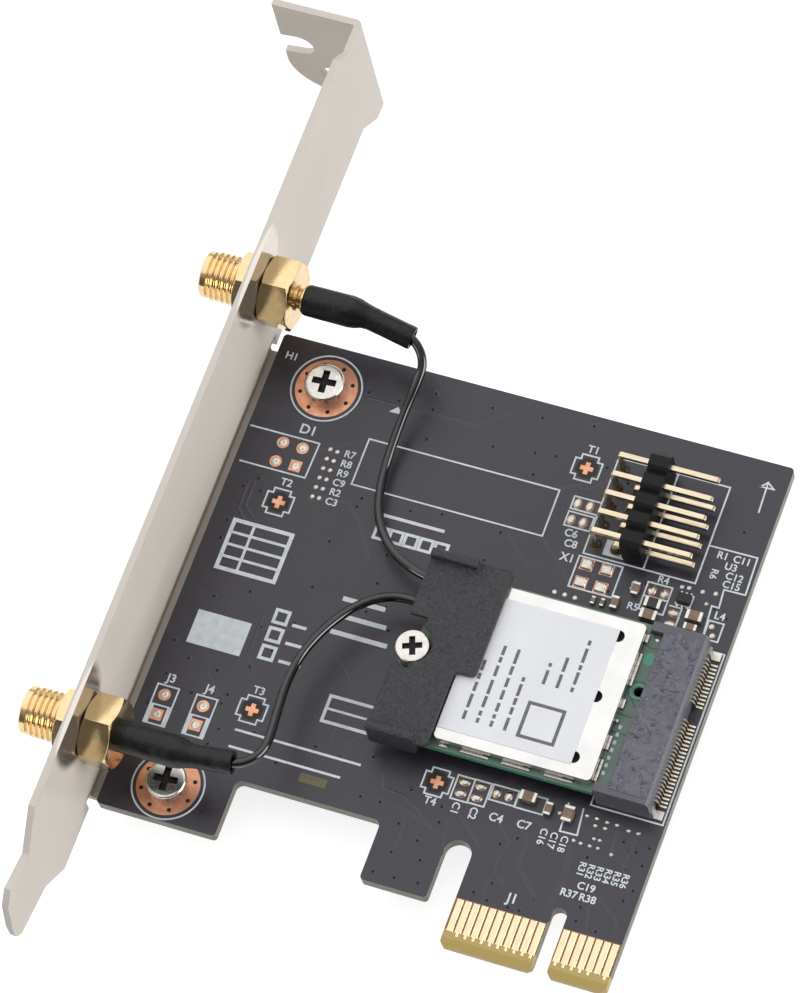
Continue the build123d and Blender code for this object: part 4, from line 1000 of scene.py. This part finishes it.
@dataclass
class PanScrews:
    """Screws of one kind, with pan heads and cross recesses.

    Attributes:
        node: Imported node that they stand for.
        name: Name of their piece.
        shade: Name of the piece at the bottom of their recesses.
        middles: Middles of the heads.
        cut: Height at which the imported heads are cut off.
        base: Underside of the heads.
        size: Radius, height and rounding of a rim.
        recess: Length over two arms, width of an arm and depth of a recess.
        bottom: Length, width, underside and top of the shade in a recess.
        spin: Turn of the recesses about Z in degrees.
    """

    node: str
    name: str
    shade: str
    middles: Sequence[Point]
    cut: float
    base: float
    size: Place
    recess: Place
    bottom: Box
    spin: float

    def build(self) -> None:
        """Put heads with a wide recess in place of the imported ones."""
        screws, shade = copy_of(self.node), bmesh.new()
        crop(screws, (0, 0, self.cut), (0, 0, 1))
        for middle in self.middles:
            screw_head(screws, middle, self.base, self.size, self.recess, self.spin)
            cross(shade, middle, *self.bottom, self.spin)
        piece(screws, self.name, BRIGHT_SCREW, (self.node,))
        piece(shade, self.shade, HOLE_SHADE)


BOARD_SCREWS = PanScrews(
    "bracket_screws", "pan_head_screws", "screw_recess_shade", BRACKET_SCREWS, 0.3, 0.05, (2.49, 1.88, 0.35),
    (3.0, 0.86, 0.8), (2.5, 0.68, 1.1, 1.5), 4.0,
)
MODULE_SCREW = PanScrews(
    "module_screw", "module_pan_screw", "module_recess_shade", ((-26.65, 32.77),), 3.2, 3.0, (2.12, 1.34, 0.3),
    (2.4, 0.74, 0.6), (2.0, 0.58, 3.8, 4.0), 20.0,
)


@dataclass
class CarrierBoard:
    """The black carrier board with its contacts, print, pads, holes and tracks.

    Attributes:
        ink: Height of the printed ink.
        line: Width of the printed lines.
        aims: Middles of the aiming marks for the placing machine.
        frames: Printed rectangles as lowest X, highest X, lowest Y and highest Y.
        lines: Other printed lines.
        marks: Reference marks as text, X, Y, height and turn.
        round_pads: Round tinned pads as X, Y and radius.
        oval_pads: Domed pads of chip parts that aren't fitted, as X, Y, width and length.
        square_pads: Flat pads of the oscillator that isn't fitted, in the same way.
        donuts: Plated holes as X, Y and whether the pad is square.
        tracks: Tracks that show through the mask.
        vias: Through holes at known places.
        seed: Start of the scatter of through holes.
    """

    ink: float = 0.036
    line: float = 0.2
    aims: Sequence[Point] = ((-15.65, 62.02), (-49.76, 47.46), (-43.29, 21.21), (-19.11, 18.86))
    frames: Sequence[Box] = (
        (-42.1, -17.8, 52.15, 58.4), (-55.25, -52.55, 16.15, 21.2), (-50.26, -47.65, 16.05, 21.2),
        (-15.8, -12.4, 56.54, 58.2), (-15.83, -12.62, 54.28, 56.15), (-12.7, -7.27, 46.9, 51.0),
        (-12.4, 1.6, 51.43, 64.4), (-3.77, -0.75, 46.5, 50.1), (4.7, 6.53, 45.0, 47.4), (-17.0, -14.9, 17.45, 20.47),
        (-14.9, -12.85, 17.5, 20.5), (-12.6, -9.47, 18.6, 20.55), (-9.4, -5.98, 18.55, 20.57),
        (-0.98, 7.85, 21.35, 43.7),
    )
    lines: Sequence[Sequence[Point]] = (
        ((-56.54, 56.12), (-47.67, 56.12), (-47.8, 51.34), (-56.18, 51.34)),
        ((-55.25, 18.6), (-52.55, 18.6)),
        ((-50.26, 18.6), (-47.65, 18.6)),
        ((-4.88, 51.43), (-4.88, 64.4)),
        ((1.8, 56.56), (7.61, 56.61), (7.75, 51.66), (5.11, 51.62), (5.29, 49.21), (4.4, 49.23), (4.67, 45.08)),
        ((-1.6, 20.59), (-1.25, 17.31), (-3.36, 17.23), (-3.5, 20.8)),
        ((5.84, 62.3), (5.7, 66.29)),
        ((5.01, 65.53), (5.7, 66.29), (6.64, 65.59), (5.01, 65.53)),
        ((0.2, 48.3), (0.2, 49.75), (2.0, 49.75), (2.0, 48.3), (0.2, 48.3)),
        ((-0.3, 47.9), (1.15, 47.9), (1.15, 44.9)),
        ((-3.6, 48.3), (-0.9, 48.3)),
    )
    marks: Sequence[tuple[str, float, float, float, float]] = (
        ("H1", -55.0, 66.2, 1.0, 0.0), ("D1", -49.6, 57.4, 1.3, 0.0), ("R7", -43.6, 55.7, 0.95, 0.0),
        ("R8", -43.6, 54.4, 0.95, 0.0), ("R9", -43.6, 53.1, 0.95, 0.0), ("C9", -43.6, 51.8, 0.95, 0.0),
        ("R2", -43.6, 50.5, 0.95, 0.0), ("C3", -43.6, 49.2, 0.95, 0.0), ("T2", -49.7, 50.1, 1.0, 0.0),
        ("T1", -15.6, 64.5, 1.0, 0.0), ("T3", -43.3, 23.7, 1.0, 0.0), ("T4", -19.1, 16.4, 1.0, 0.0),
        ("J3", -53.9, 22.2, 1.1, 0.0), ("J4", -49.0, 22.2, 1.1, 0.0), ("C6", -14.6, 53.4, 1.0, 0.0),
        ("C8", -14.2, 52.1, 1.0, 0.0), ("X1", -14.0, 50.3, 1.1, 0.0), ("C5", -5.2, 49.1, 0.9, -90.0),
        ("R4", -2.1, 50.75, 0.95, 0.0), ("R5", -4.5, 46.5, 0.95, 0.0), ("R1", 3.6, 55.7, 0.95, 0.0),
        ("C11", 6.0, 55.7, 0.95, 0.0), ("U3", 5.0, 54.55, 0.95, 0.0), ("C12", 5.8, 53.4, 0.95, 0.0),
        ("C15", 5.8, 52.3, 0.95, 0.0), ("R6", 3.3, 53.2, 0.9, -90.0), ("L4", 5.75, 48.2, 1.0, 0.0),
        ("C1", -16.0, 16.4, 0.95, -90.0), ("C2", -13.8, 16.4, 0.95, -90.0), ("C4", -11.0, 16.6, 1.05, 0.0),
        ("C7", -7.6, 16.7, 1.05, 0.0), ("C16", -5.1, 16.0, 0.9, -90.0), ("C17", -3.8, 15.9, 0.9, -90.0),
        ("C18", -2.5, 15.8, 0.9, -90.0), ("R31", 0.6, 13.5, 0.85, -90.0), ("R32", 1.65, 13.5, 0.85, -90.0),
        ("R33", 2.7, 13.5, 0.85, -90.0), ("R34", 3.75, 13.5, 0.85, -90.0), ("R35", 4.8, 13.5, 0.85, -90.0),
        ("R36", 5.85, 13.5, 0.85, -90.0), ("C19", 1.9, 11.5, 0.95, 0.0), ("R37", 0.2, 10.2, 0.95, 0.0),
        ("R38", 2.5, 10.2, 0.95, 0.0), ("J1", -5.8, 7.7, 1.25, 0.0),
    )
    round_pads: Sequence[Place] = (
        (0.26, 50.6, 0.3), (1.1, 50.7, 0.3), (2.8, 50.66, 0.3), (4.36, 50.85, 0.3), (3.7, 49.3, 0.25),
        (-13.98, 45.7, 0.3), (-12.7, 45.7, 0.3), (-11.4, 45.66, 0.3), (5.26, 46.7, 0.35), (5.7, 45.6, 0.35),
        (-4.1, 19.4, 0.3), (-0.9, 20.0, 0.28), (0.3, 20.0, 0.28), (1.6, 19.9, 0.28), (2.8, 19.9, 0.28),
        (4.3, 19.6, 0.28), (5.5, 19.6, 0.28), (0.4, 19.1, 0.28), (1.6, 19.1, 0.28), (0.8, 17.5, 0.25),
        (1.5, 17.5, 0.25), (-1.4, 16.6, 0.25), (-0.5, 16.5, 0.25), (0.6, 16.5, 0.25), (1.6, 16.5, 0.25),
        (3.35, 16.2, 0.25), (-46.16, 55.79, 0.3), (-45.23, 55.7, 0.3), (-46.15, 54.49, 0.3), (-45.23, 54.43, 0.3),
        (-46.13, 53.19, 0.3), (-45.22, 53.16, 0.3), (-46.12, 51.89, 0.3), (-45.22, 51.88, 0.3), (-46.1, 50.59, 0.3),
        (-45.22, 50.61, 0.3), (-46.09, 49.29, 0.3), (-45.22, 49.34, 0.3),
    )
    oval_pads: Sequence[Box] = (
        (-15.13, 57.35, 0.95, 1.25), (-13.6, 57.35, 0.95, 1.25), (-15.2, 55.15, 0.95, 1.25), (-13.7, 55.15, 0.95, 1.25),
        (-2.96, 49.15, 0.95, 1.25), (-1.42, 49.15, 0.95, 1.25), (0.44, 47.1, 1.3, 0.95), (0.44, 45.6, 1.3, 0.95),
        (-16.0, 19.85, 1.3, 0.95), (-16.0, 18.35, 1.3, 0.95), (-14.0, 19.85, 1.3, 0.95), (-14.0, 18.35, 1.3, 0.95),
        (-11.95, 19.65, 0.95, 1.25), (-10.45, 19.65, 0.95, 1.25),
    )
    square_pads: Sequence[Box] = (
        (-11.45, 50.1, 1.5, 1.35), (-8.95, 50.1, 1.5, 1.35), (-11.45, 47.75, 1.5, 1.35), (-8.95, 47.75, 1.5, 1.35),
    )
    donuts: Sequence[tuple[float, float, bool]] = (
        (-52.0, 55.04, False), (-49.44, 54.96, False), (-52.0, 52.47, False), (-49.48, 52.51, True),
        (-54.0, 20.04, False), (-54.0, 17.42, True), (-49.05, 19.98, False), (-49.05, 17.46, True),
    )
    tracks: Sequence[Sequence[Point]] = (
        ((-15.0, 15.5), (-11.5, 12.6)),
        ((-11.1, 16.7), (-8.4, 14.2), (-9.0, 12.4), (-8.9, 10.0), (-7.4, 9.2)),
        ((-8.5, 17.1), (-6.4, 15.0), (-6.7, 11.7), (-4.5, 10.2), (-3.4, 8.5)),
        ((-6.5, 17.9), (-4.8, 16.3)),
        ((-1.5, 15.7), (-1.3, 11.5), (-1.6, 8.9), (-1.55, 6.6)),
        ((-1.0, 15.2), (-0.8, 11.6), (-1.1, 8.7), (-0.95, 6.5)),
        ((-9.3, 9.1), (-9.0, 6.3)),
        ((3.9, 10.5), (6.7, 8.7), (6.9, 6.4)),
        ((2.8, 10.2), (3.6, 6.6)),
        ((-16.3, 14.8), (-15.6, 10.7)),
        ((-21.5, 14.5), (-16.9, 12.9)),
        ((3.1, 19.0), (3.25, 16.5)),
        ((-3.5, 8.5), (-6.5, 11.4), (-6.5, 14.9)),
        ((7.0, 12.4), (5.2, 14.9), (5.4, 18.6)),
        ((-50.2, 24.2), (-47.6, 21.7)),
        ((-43.5, 49.3), (-41.7, 49.7), (-39.5, 47.7), (-36.6, 43.5)),
        ((-47.4, 55.3), (-42.4, 58.1)),
        ((-17.4, 58.8), (-16.3, 59.4), (-14.3, 59.5), (-12.8, 61.0)),
        ((-17.3, 51.6), (-12.6, 47.2)),
        ((-21.9, 51.4), (-18.1, 47.8)),
        ((-25.5, 17.9), (-24.9, 16.4), (-22.3, 16.1), (-20.3, 15.0), (-18.1, 13.4)),
        ((-44.0, 63.6), (-30.0, 63.6), (-27.0, 66.4)),
        ((-33.0, 20.5), (-33.0, 27.5), (-35.6, 30.2)),
        ((-54.2, 48.6), (-54.2, 45.4), (-52.9, 44.1)),
        ((-53.5, 49.2), (-53.5, 46.0), (-52.2, 44.8)),
        ((-44.4, 25.5), (-46.3, 27.6), (-46.3, 33.5)),
        ((-28.9, 22.5), (-30.9, 20.4), (-30.9, 16.4)),
        ((-25.2, 15.0), (-22.6, 15.0), (-21.0, 13.3), (-21.0, 9.6)),
    )
    vias: Sequence[Point] = (
        (-27.4, 19.7), (-24.7, 14.6), (-21.3, 9.1), (-17.7, 9.1), (-22.5, 6.2), (-19.9, 6.2), (-17.0, 6.4),
        (-21.7, 17.1),
        (-17.2, 14.2), (-21.7, 12.7), (7.3, 18.2), (7.2, 15.9), (7.2, 12.7), (4.2, 18.1), (5.2, 17.1), (6.0, 17.3),
        (4.0, 10.5), (2.1, 7.3), (4.7, 6.7), (-10.4, 7.2), (-8.6, 6.7), (-4.6, 6.6), (-6.0, 6.6),
    )
    seed: int = 7

    def build(self) -> None:
        """Add everything on the board's two faces."""
        self.contacts()
        self.print_ink()
        self.aiming_marks()
        self.pads()
        self.through_holes()
        self.track_relief()

    def contacts(self) -> None:
        """Widen the gold contacts to their etched size and round them so that their edges catch the light."""
        for side in ("front", "back"):
            bm = copy_of(f"edge_contacts_{side}")
            for vert in bm.verts:
                middle = math.floor(vert.co.x) + 0.5
                away = vert.co.x - middle
                if abs(away) > 0.3:
                    vert.co.x = middle + math.copysign(0.385, away)
                if abs(vert.co.y - 2.2) < 0.01:
                    vert.co.y = 1.85
            soften(bm, 0.02, segments=1)
            piece(bm, f"contact_fingers_{side}", CONTACT_GOLD, (f"edge_contacts_{side}",))

    def print_ink(self) -> None:
        """Print the outlines, plain write-on fields and short reference marks."""
        bm = bmesh.new()
        for number, box in enumerate(self.frames):
            outline(bm, box, self.line, 0.0, self.ink + 0.0004 * number)
        for number, points in enumerate(self.lines):
            stroke(bm, points, self.line, 0.0, self.ink + 0.007 + 0.0004 * number)
        for mark in self.marks:
            word(bm, mark, self.ink + 0.015)
        ring = [(0.0, 4.25), (0.0, 4.45), (self.ink, 4.45), (self.ink, 4.25)]
        for x, y in BRACKET_SCREWS:
            turn(bm, ring, (x, y, 0.0), steps=64, closed=True)
        for x0, x1, y0 in ((-55.15, -52.65, 16.25), (-50.16, -47.75, 16.15)):
            middle = (x0 + x1) / 2
            for a, b in ((x0, middle - 0.85), (middle + 0.85, x1)):
                slab(bm, (a, y0, 0.0), (b, 18.5, self.ink))
        for x0, x1, y0, y1 in ((-10.2, -9.5, 51.9, 53.95), (-8.05, -7.6, 51.9, 53.95), (-9.5, -8.05, 53.65, 53.95),
                               (-9.5, -8.05, 51.9, 52.2)):
            slab(bm, (x0, y0, 0.0), (x1, y1, self.ink + 0.012))
        bmesh.ops.create_cone(
            bm, cap_ends=True, segments=3, radius1=0.78, radius2=0.77, depth=self.ink,
            matrix=Matrix.Translation((-40.18, 62.81, self.ink / 2)) @ Matrix.Diagonal((1.32, 0.75, 1.0, 1.0)),
        )
        self.write_on_fields(bm)
        piece(bm, "board_print", MARKING_INK)
        first = bmesh.new()
        slab(first, (-9.48, 52.22, 0.0), (-8.07, 53.63, 0.03))
        piece(first, "first_pin_pad", BARE_COPPER)

    def write_on_fields(self, bm: BMesh) -> None:
        """Print plain fields for hand-written notes: a ruled table, a solid patch and rows of tick boxes.

        Args:
            bm: Mesh that takes the print.
        """
        outline(bm, (-54.0, -46.6, 37.4, 43.8), 0.5, 0.0, self.ink)
        for number in range(3):
            y = 39.0 + 1.6 * number
            stroke(bm, ((-53.8, y), (-46.8, y)), 0.34, 0.0, self.ink + 0.008)
        stroke(bm, ((-51.4, 37.6), (-51.4, 43.6)), 0.34, 0.0, self.ink + 0.012)
        slab(bm, (-54.0, 27.2, 0.0), (-47.2, 31.6, self.ink))
        for row in range(3):
            y = 27.8 + 2.4 * row
            outline(bm, (-44.9, -43.3, y, y + 1.6), 0.4, 0.0, self.ink)
            stroke(bm, ((-42.3, y + 0.2), (-39.9 - 0.5 * row, y + 0.2)), 0.4, 0.0, self.ink)
            stroke(bm, ((-37.6, 33.4 + 2.2 * row), (-31.0 - 0.9 * row, 33.4 + 2.2 * row)), 0.6, 0.0, self.ink)
        for column in range(5):
            x = -37.2 + 1.9 * column
            outline(bm, (x, x + 1.5, 46.3, 47.8), 0.36, 0.0, self.ink)
        stroke(bm, ((-37.2, 49.4), (-29.4, 49.4)), 0.4, 0.0, self.ink)
        outline(bm, (-34.9, -28.6, 22.3, 25.6), 0.4, 0.0, self.ink)
        stroke(bm, ((-34.7, 23.95), (-28.8, 23.95)), 0.3, 0.0, self.ink + 0.008)
        for y, x0, x1 in ((18.3, -44.2, -28.6), (16.1, -44.2, -30.4)):
            stroke(bm, ((x0, y), (x1, y)), 0.3, 0.0, self.ink)

    def aiming_marks(self) -> None:
        """Make the stepped outlines, open windows and copper crosses of the aiming marks."""
        ink, window, copper = bmesh.new(), bmesh.new(), bmesh.new()
        reach, arm = 1.7, 1.05
        steps = ((-arm, reach), (arm, reach), (arm, arm), (reach, arm), (reach, -arm), (arm, -arm), (arm, -reach),
                 (-arm, -reach), (-arm, -arm), (-reach, -arm), (-reach, arm), (-arm, arm))
        for x, y in self.aims:
            stroke(ink, [(x + a, y + b) for a, b in steps], self.line, 0.0, self.ink, closed=True)
            bmesh.ops.create_cone(
                window, cap_ends=True, segments=8, radius1=1.42, radius2=1.4, depth=0.01,
                matrix=Matrix.Translation((x, y, 0.005)) @ Matrix.Rotation(math.radians(22.5), 4, "Z"),
            )
            cross(copper, (x, y), 1.6, 0.56, 0.0, 0.03)
        piece(ink, "aiming_outlines", MARKING_INK)
        piece(window, "aiming_windows", MASK_WINDOW)
        piece(copper, "aiming_crosses", BARE_COPPER)
        olive = bmesh.new()
        slab(olive, (-34.9, 14.3, 0.0), (-31.55, 15.4, 0.006))
        piece(olive, "olive_window", OLIVE_WINDOW)

    def pads(self) -> None:
        """Add tinned pads, plated holes with solder, and the ring of holes round each screw, drawn as discs of painted
        shade.
        """
        tinned, dots, copper, holes = bmesh.new(), bmesh.new(), bmesh.new(), bmesh.new()
        for x, y, width, length in self.oval_pads:
            for bm, grow, rise in ((copper, 1.1, 0.05), (tinned, 1.0, 0.2)):
                shape = Matrix.Diagonal((grow * width / 2, grow * length / 2, rise, 1.0))
                bmesh.ops.create_uvsphere(
                    bm, u_segments=24, v_segments=12, radius=1.0, matrix=Matrix.Translation((x, y, 0.0)) @ shape
                )
        pillows = bmesh.new()
        for x, y, width, length in self.square_pads:
            for bm, grow, low, high in ((copper, 0.06, 0.0, 0.04), (pillows, 0.0, -0.3, 0.3)):
                across, along = width / 2 + grow, length / 2 + grow
                slab(bm, (x - across, y - along, low), (x + across, y + along, high))
        soften(pillows, 0.29, segments=5, angle=60.0)
        piece(pillows, "pillow_pads", SOLDER, smooth=80.0)
        piece(tinned, "tinned_pads", SOLDER, ("solder_pads",), smooth=50.0)
        for x, y, radius in self.round_pads:
            dome = [(0.0, radius), (0.03, radius * 0.98), (0.07, radius * 0.75), (0.09, radius * 0.4), (0.095, 0.0)]
            turn(dots, dome, (x, y, 0.0), steps=14)
        for x, y, square in self.donuts:
            if square:
                slab(copper, (x - 0.72, y - 0.72, 0.0), (x + 0.72, y + 0.72, 0.03))
            else:
                turn(copper, [(0.0, 0.42), (0.0, 0.76), (0.03, 0.76), (0.03, 0.42)], (x, y, 0.0), steps=28, closed=True)
            turn(dots, [(0.0, 0.55), (0.05, 0.53), (0.1, 0.4), (0.09, 0.16), (0.02, 0.0)], (x, y, 0.0), steps=20)
            turn(dots, [(0.0, 0.72), (-0.03, 0.7), (-0.12, 0.45), (-0.14, 0.0)], (x, y, -BOARD_THICKNESS), steps=20)
        for x, y in BRACKET_SCREWS:
            for step in range(8):
                angle = math.radians(22.5 + 45 * step)
                at = (x + 3.2 * math.cos(angle), y + 3.2 * math.sin(angle), 0.035)
                # Near-black disc of painted shade where the hole is
                turn(holes, [(0.0, 0.27), (0.012, 0.26), (0.012, 0.0)], at, steps=14)
        piece(dots, "solder_domes", SOLDER)
        piece(copper, "plated_pads", BARE_COPPER)
        piece(holes, "ring_drilling_shade", HOLE_SHADE)

    def through_holes(self) -> None:
        """Scatter the mask-covered through holes that show as small dimples on both faces, with painted shade in their
        centres.
        """
        chance = random.Random(self.seed)
        taken = [(x, y, 1.6) for x, y, *_ in self.donuts] + [(x, y, 2.4) for x, y in self.aims]
        taken += [(x, y, 0.9) for x, y, _ in self.round_pads] + [(x, y, 4.9) for x, y in BRACKET_SCREWS]
        zones = ((-55.5, 6.5, 58.9, 68.0), (-55.5, -16.5, 45.5, 51.5), (-55.5, -30.0, 14.0, 45.0),
                 (-30.0, -17.0, 13.0, 20.0), (-22.6, -16.6, 5.0, 12.0), (-11.0, 7.0, 7.4, 17.0),
                 (-16.0, 7.0, 44.6, 50.0))
        taken += [(x, y, 2.2) for x in (-52.8, -50.6, -48.4) for y in (28.4, 30.4)]
        spots = list(self.vias)
        taken += [(x, y, 0.9) for x, y in spots]
        for x0, x1, y0, y1 in zones:
            for _ in range(int((x1 - x0) * (y1 - y0) / 17)):
                x, y = chance.uniform(x0, x1), chance.uniform(y0, y1)
                if all(math.hypot(x - a, y - b) >= gap for a, b, gap in taken):
                    taken.append((x, y, 0.9))
                    spots.append((x, y))
        rims, centres = bmesh.new(), bmesh.new()
        for x, y in spots:
            for face, way in ((0.0, 1), (-BOARD_THICKNESS, -1)):
                rim = [(0.0, 0.18), (0.0, 0.42), (0.025 * way, 0.34), (0.025 * way, 0.21)]
                turn(rims, rim, (x, y, face), steps=12, closed=True)
                # Near-black centre disc: painted shade in the dimple
                turn(centres, [(0.0, 0.21), (0.008 * way, 0.2), (0.008 * way, 0.0)], (x, y, face), steps=10)
        piece(rims, "hole_rims", TRACK_MASK)
        piece(centres, "hole_centre_shade", HOLE_SHADE)

    def track_relief(self) -> None:
        """Raise the mask over the copper tracks."""
        bm = bmesh.new()
        for number, points in enumerate(self.tracks):
            stroke(bm, points, 0.42, 0.0, 0.024 + 0.0003 * number, crown=0.35)
        piece(bm, "track_relief", TRACK_MASK)


@dataclass
class RadioModule:
    """The green radio module with its shield can, label and clip.

    Attributes:
        board_top: Upper face of the module's board.
        label_top: Upper face of the label.
        lines: Rows of dashes on the label as X, lowest Y and highest Y.
        gaps: Gaps in the module's copper plane.
        seed: Start of the dashes' lengths.
    """

    board_top: float = 3.0
    label_top: float = 4.58
    lines: Sequence[Place] = (
        (-17.7, 25.6, 33.4), (-16.0, 25.6, 36.4), (-14.3, 25.6, 36.2), (-12.6, 25.6, 32.6), (-10.2, 32.4, 35.4),
        (-8.5, 32.4, 37.0), (-6.7, 32.4, 39.2),
    )
    gaps: Sequence[Sequence[Point]] = (
        ((-0.85, 41.25), (-0.1, 40.9), (1.05, 41.05)), ((-0.55, 36.4), (1.05, 36.55)), ((-0.5, 34.75), (0.55, 33.4)),
        ((-0.95, 32.05), (0.55, 31.95)), ((-0.95, 29.67), (0.7, 29.68)),
    )
    seed: int = 11

    def build(self) -> None:
        """Build the clip, the print and the small marks."""
        self.label_print()
        self.module_marks()
        clip = copy_of("antenna_clip")
        soften(clip, 0.2, segments=3)
        turn(clip, [(0.0, 0.36), (0.05, 0.4), (0.05, 0.5), (0.0, 0.56)], (-22.5, 33.1, 5.3), steps=28, closed=True)
        piece(clip, "moulded_clip", CLIP_PLASTIC, ("antenna_clip",))

    def label_print(self) -> None:
        """Print rows of plain dashes and an empty square on the label."""
        bm = bmesh.new()
        chance = random.Random(self.seed)
        for x, y, end in self.lines:
            while y < end - 0.4:
                length = min(chance.uniform(0.5, 1.9), end - y)
                slab(bm, (x - 0.2, y, self.label_top), (x + 0.2, y + length, self.label_top + 0.008))
                y += length + chance.uniform(0.25, 0.5)
        outline(bm, (-10.9, -6.6, 25.5, 29.8), 0.42, self.label_top, self.label_top + 0.008)
        piece(bm, "label_bars", LABEL_PRINT)

    def module_marks(self) -> None:
        """Add the paler pads and dots on the module's free strip beside the socket."""
        pour, dots, ink = bmesh.new(), bmesh.new(), bmesh.new()
        top = self.board_top
        turn(pour, [(0.0, 0.82), (0.015, 0.78), (0.015, 0.0)], (0.3, 39.5, top), steps=28)
        turn(pour, [(0.0, 0.75), (0.0, 1.02), (0.015, 1.02), (0.015, 0.75)], (0.35, 35.3, top), steps=28, closed=True)
        turn(dots, [(0.0, 0.24), (0.03, 0.22), (0.05, 0.0)], (0.4, 42.1, top), steps=14)
        for row in range(7):
            slab(ink, (-0.38, 24.2 + row, top), (0.0, 24.7 + row, top + 0.012))
        piece(ink, "module_print", MARKING_INK)
        gaps, joints = bmesh.new(), bmesh.new()
        for number, points in enumerate(self.gaps):
            stroke(gaps, points, 0.24, top, top + 0.008 + 0.0005 * number)
        turn(gaps, [(0.0, 1.02), (0.0, 1.22), (0.014, 1.22), (0.014, 1.02)], (0.35, 35.3, top), steps=28, closed=True)
        piece(gaps, "module_gaps", MODULE_GAP)
        for x0, x1 in ((-19.7, -18.7), (-17.05, -13.55), (-11.95, -8.5), (-6.7, -3.2)):
            slab(joints, (x0, 22.08, top), (x1, 22.5, top + 0.22))
        for y0, y1 in ((23.1, 26.0), (27.2, 29.1), (30.8, 31.25), (32.6, 33.9), (35.6, 39.9), (41.3, 42.4)):
            slab(joints, (-0.96, y0, top), (-0.52, y1, top + 0.3))
        soften(joints, 0.12, segments=3)
        piece(joints, "shield_joints", SOLDER)
        piece(pour, "module_pour", MODULE_POUR)
        piece(dots, "module_dots", SOLDER)


@dataclass
class HeaderJoints:
    """The solder joints of the right-angle pin header's two rows.

    Attributes:
        legs: X of the upper and the lower row's legs.
        first: Y of the topmost pin.
        pitch: Distance between two pins.
        pins: Pins in a full row.
    """

    legs: Sequence[float] = (-11.3, -8.76)
    first: float = 63.1
    pitch: float = 2.54
    pins: int = 5

    def build(self) -> None:
        """Add the solder cones round the legs on both faces."""
        front, back = bmesh.new(), bmesh.new()
        for row, x in enumerate(self.legs):
            for pin in range(self.pins):
                y = self.first - self.pitch * pin
                if row == 1 and pin == 0:
                    continue
                turn(front, [(0.0, 0.78), (0.04, 0.76), (0.12, 0.58), (0.3, 0.45), (0.3, 0.0)], (x, y, 0.0), steps=20)
                cone = [(0.0, 0.85), (-0.05, 0.83), (-0.3, 0.62), (-0.9, 0.45), (-0.95, 0.0)]
                turn(back, cone, (x, y, -BOARD_THICKNESS), steps=20)
        piece(front, "header_fillets", FLUXED_SOLDER)
        piece(back, "header_joints", SOLDER)


@dataclass
class PlainParts:
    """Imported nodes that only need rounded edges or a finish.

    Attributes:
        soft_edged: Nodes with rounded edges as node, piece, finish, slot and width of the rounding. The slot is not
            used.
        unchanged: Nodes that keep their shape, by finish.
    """

    soft_edged: Sequence[tuple[str, str, Finish, str, float]] = (
        ("upper_jack_nut", "upper_hex_nut", JACK_GOLD, "gold_plate", 0.16),
        ("lower_jack_nut", "lower_hex_nut", JACK_GOLD, "gold_plate", 0.16),
        ("shield_can", "formed_shield_can", SHIELD_TIN, "shield_tin", 0.12),
        ("socket_housing", "moulded_socket", SOCKET_PLASTIC, "socket_plastic", 0.12),
        ("header_housing", "header_body", HEADER_PLASTIC, "header_plastic", 0.08),
        ("header_pins_upper", "header_wires_upper", PIN_GOLD, "gold_plate", 0.06),
        ("header_pins_lower", "header_wires_lower", PIN_GOLD, "gold_plate", 0.06),
        ("capacitor_bodies", "capacitor_blocks", CAPACITOR_CERAMIC, "capacitor_ceramic", 0.06),
        ("capacitor_ends", "capacitor_caps", TIN_PLATE, "tin_plate", 0.06),
        ("resistor_bodies", "resistor_blocks", RESISTOR_GLAZE, "resistor_black", 0.06),
        ("resistor_ends", "resistor_caps", TIN_PLATE, "tin_plate", 0.06),
        ("regulator_body", "regulator_package", CHIP_EPOXY, "chip_epoxy", 0.06),
        ("regulator_leads", "regulator_legs", TIN_PLATE, "tin_plate", 0.06),
    )
    unchanged: Sequence[tuple[Finish, Sequence[str]]] = (
        (JACK_GOLD, ("upper_jack_washer", "upper_jack_pin", "lower_jack_washer", "lower_jack_pin")),
        (INSULATOR, ("upper_jack_insulator", "lower_jack_insulator")),
        (PIN_GOLD, ("upper_coax_plug", "lower_coax_plug")),
        (BOARD_MASK, ("carrier_board",)),
        (BARE_COPPER, ("mounting_pads",)),
        (MODULE_MASK, ("module_board",)),
        (CHIP_EPOXY, ("radio_chip", "front_end_chips")),
        (TIN_PLATE, ("module_crystal", "antenna_receptacles", "socket_anchors")),
        (LABEL_PAPER, ("shield_label",)),
        (BRIGHT_SCREW, ("standoff",)),
        (SPRING_TIN, ("socket_contacts_rear", "socket_contacts_front")),
        (PICKUP_FILM, ("pickup_film",)),
    )

    def build(self) -> None:
        """Round or dress each node."""
        for node, name, finish, slot, width in self.soft_edged:
            bm = copy_of(node)
            soften(bm, width)
            piece(bm, name, finish, (node,))
        for finish, nodes in self.unchanged:
            for node in nodes:
                for material_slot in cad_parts[node].material_slots:
                    material_slot.material = material_of(finish)
                LOG.info("%s: packed solid in %s", node, finish.name)


def main() -> None:
    """Build the studio and every part of the card."""
    logging.basicConfig(level=logging.INFO, format="%(name)s %(message)s")
    bpy.context.scene.view_settings.view_transform = "Standard"
    studio = Studio()
    studio.camera()
    studio.floor()
    studio.light()
    for part in (UPPER_JACK, LOWER_JACK, SlotBracket(), BOARD_SCREWS, CarrierBoard(), RadioModule(), MODULE_SCREW,
                 HeaderJoints(), PlainParts()):
        part.build()
    bpy.context.view_layer.update()


if __name__ == "__main__":
    main()
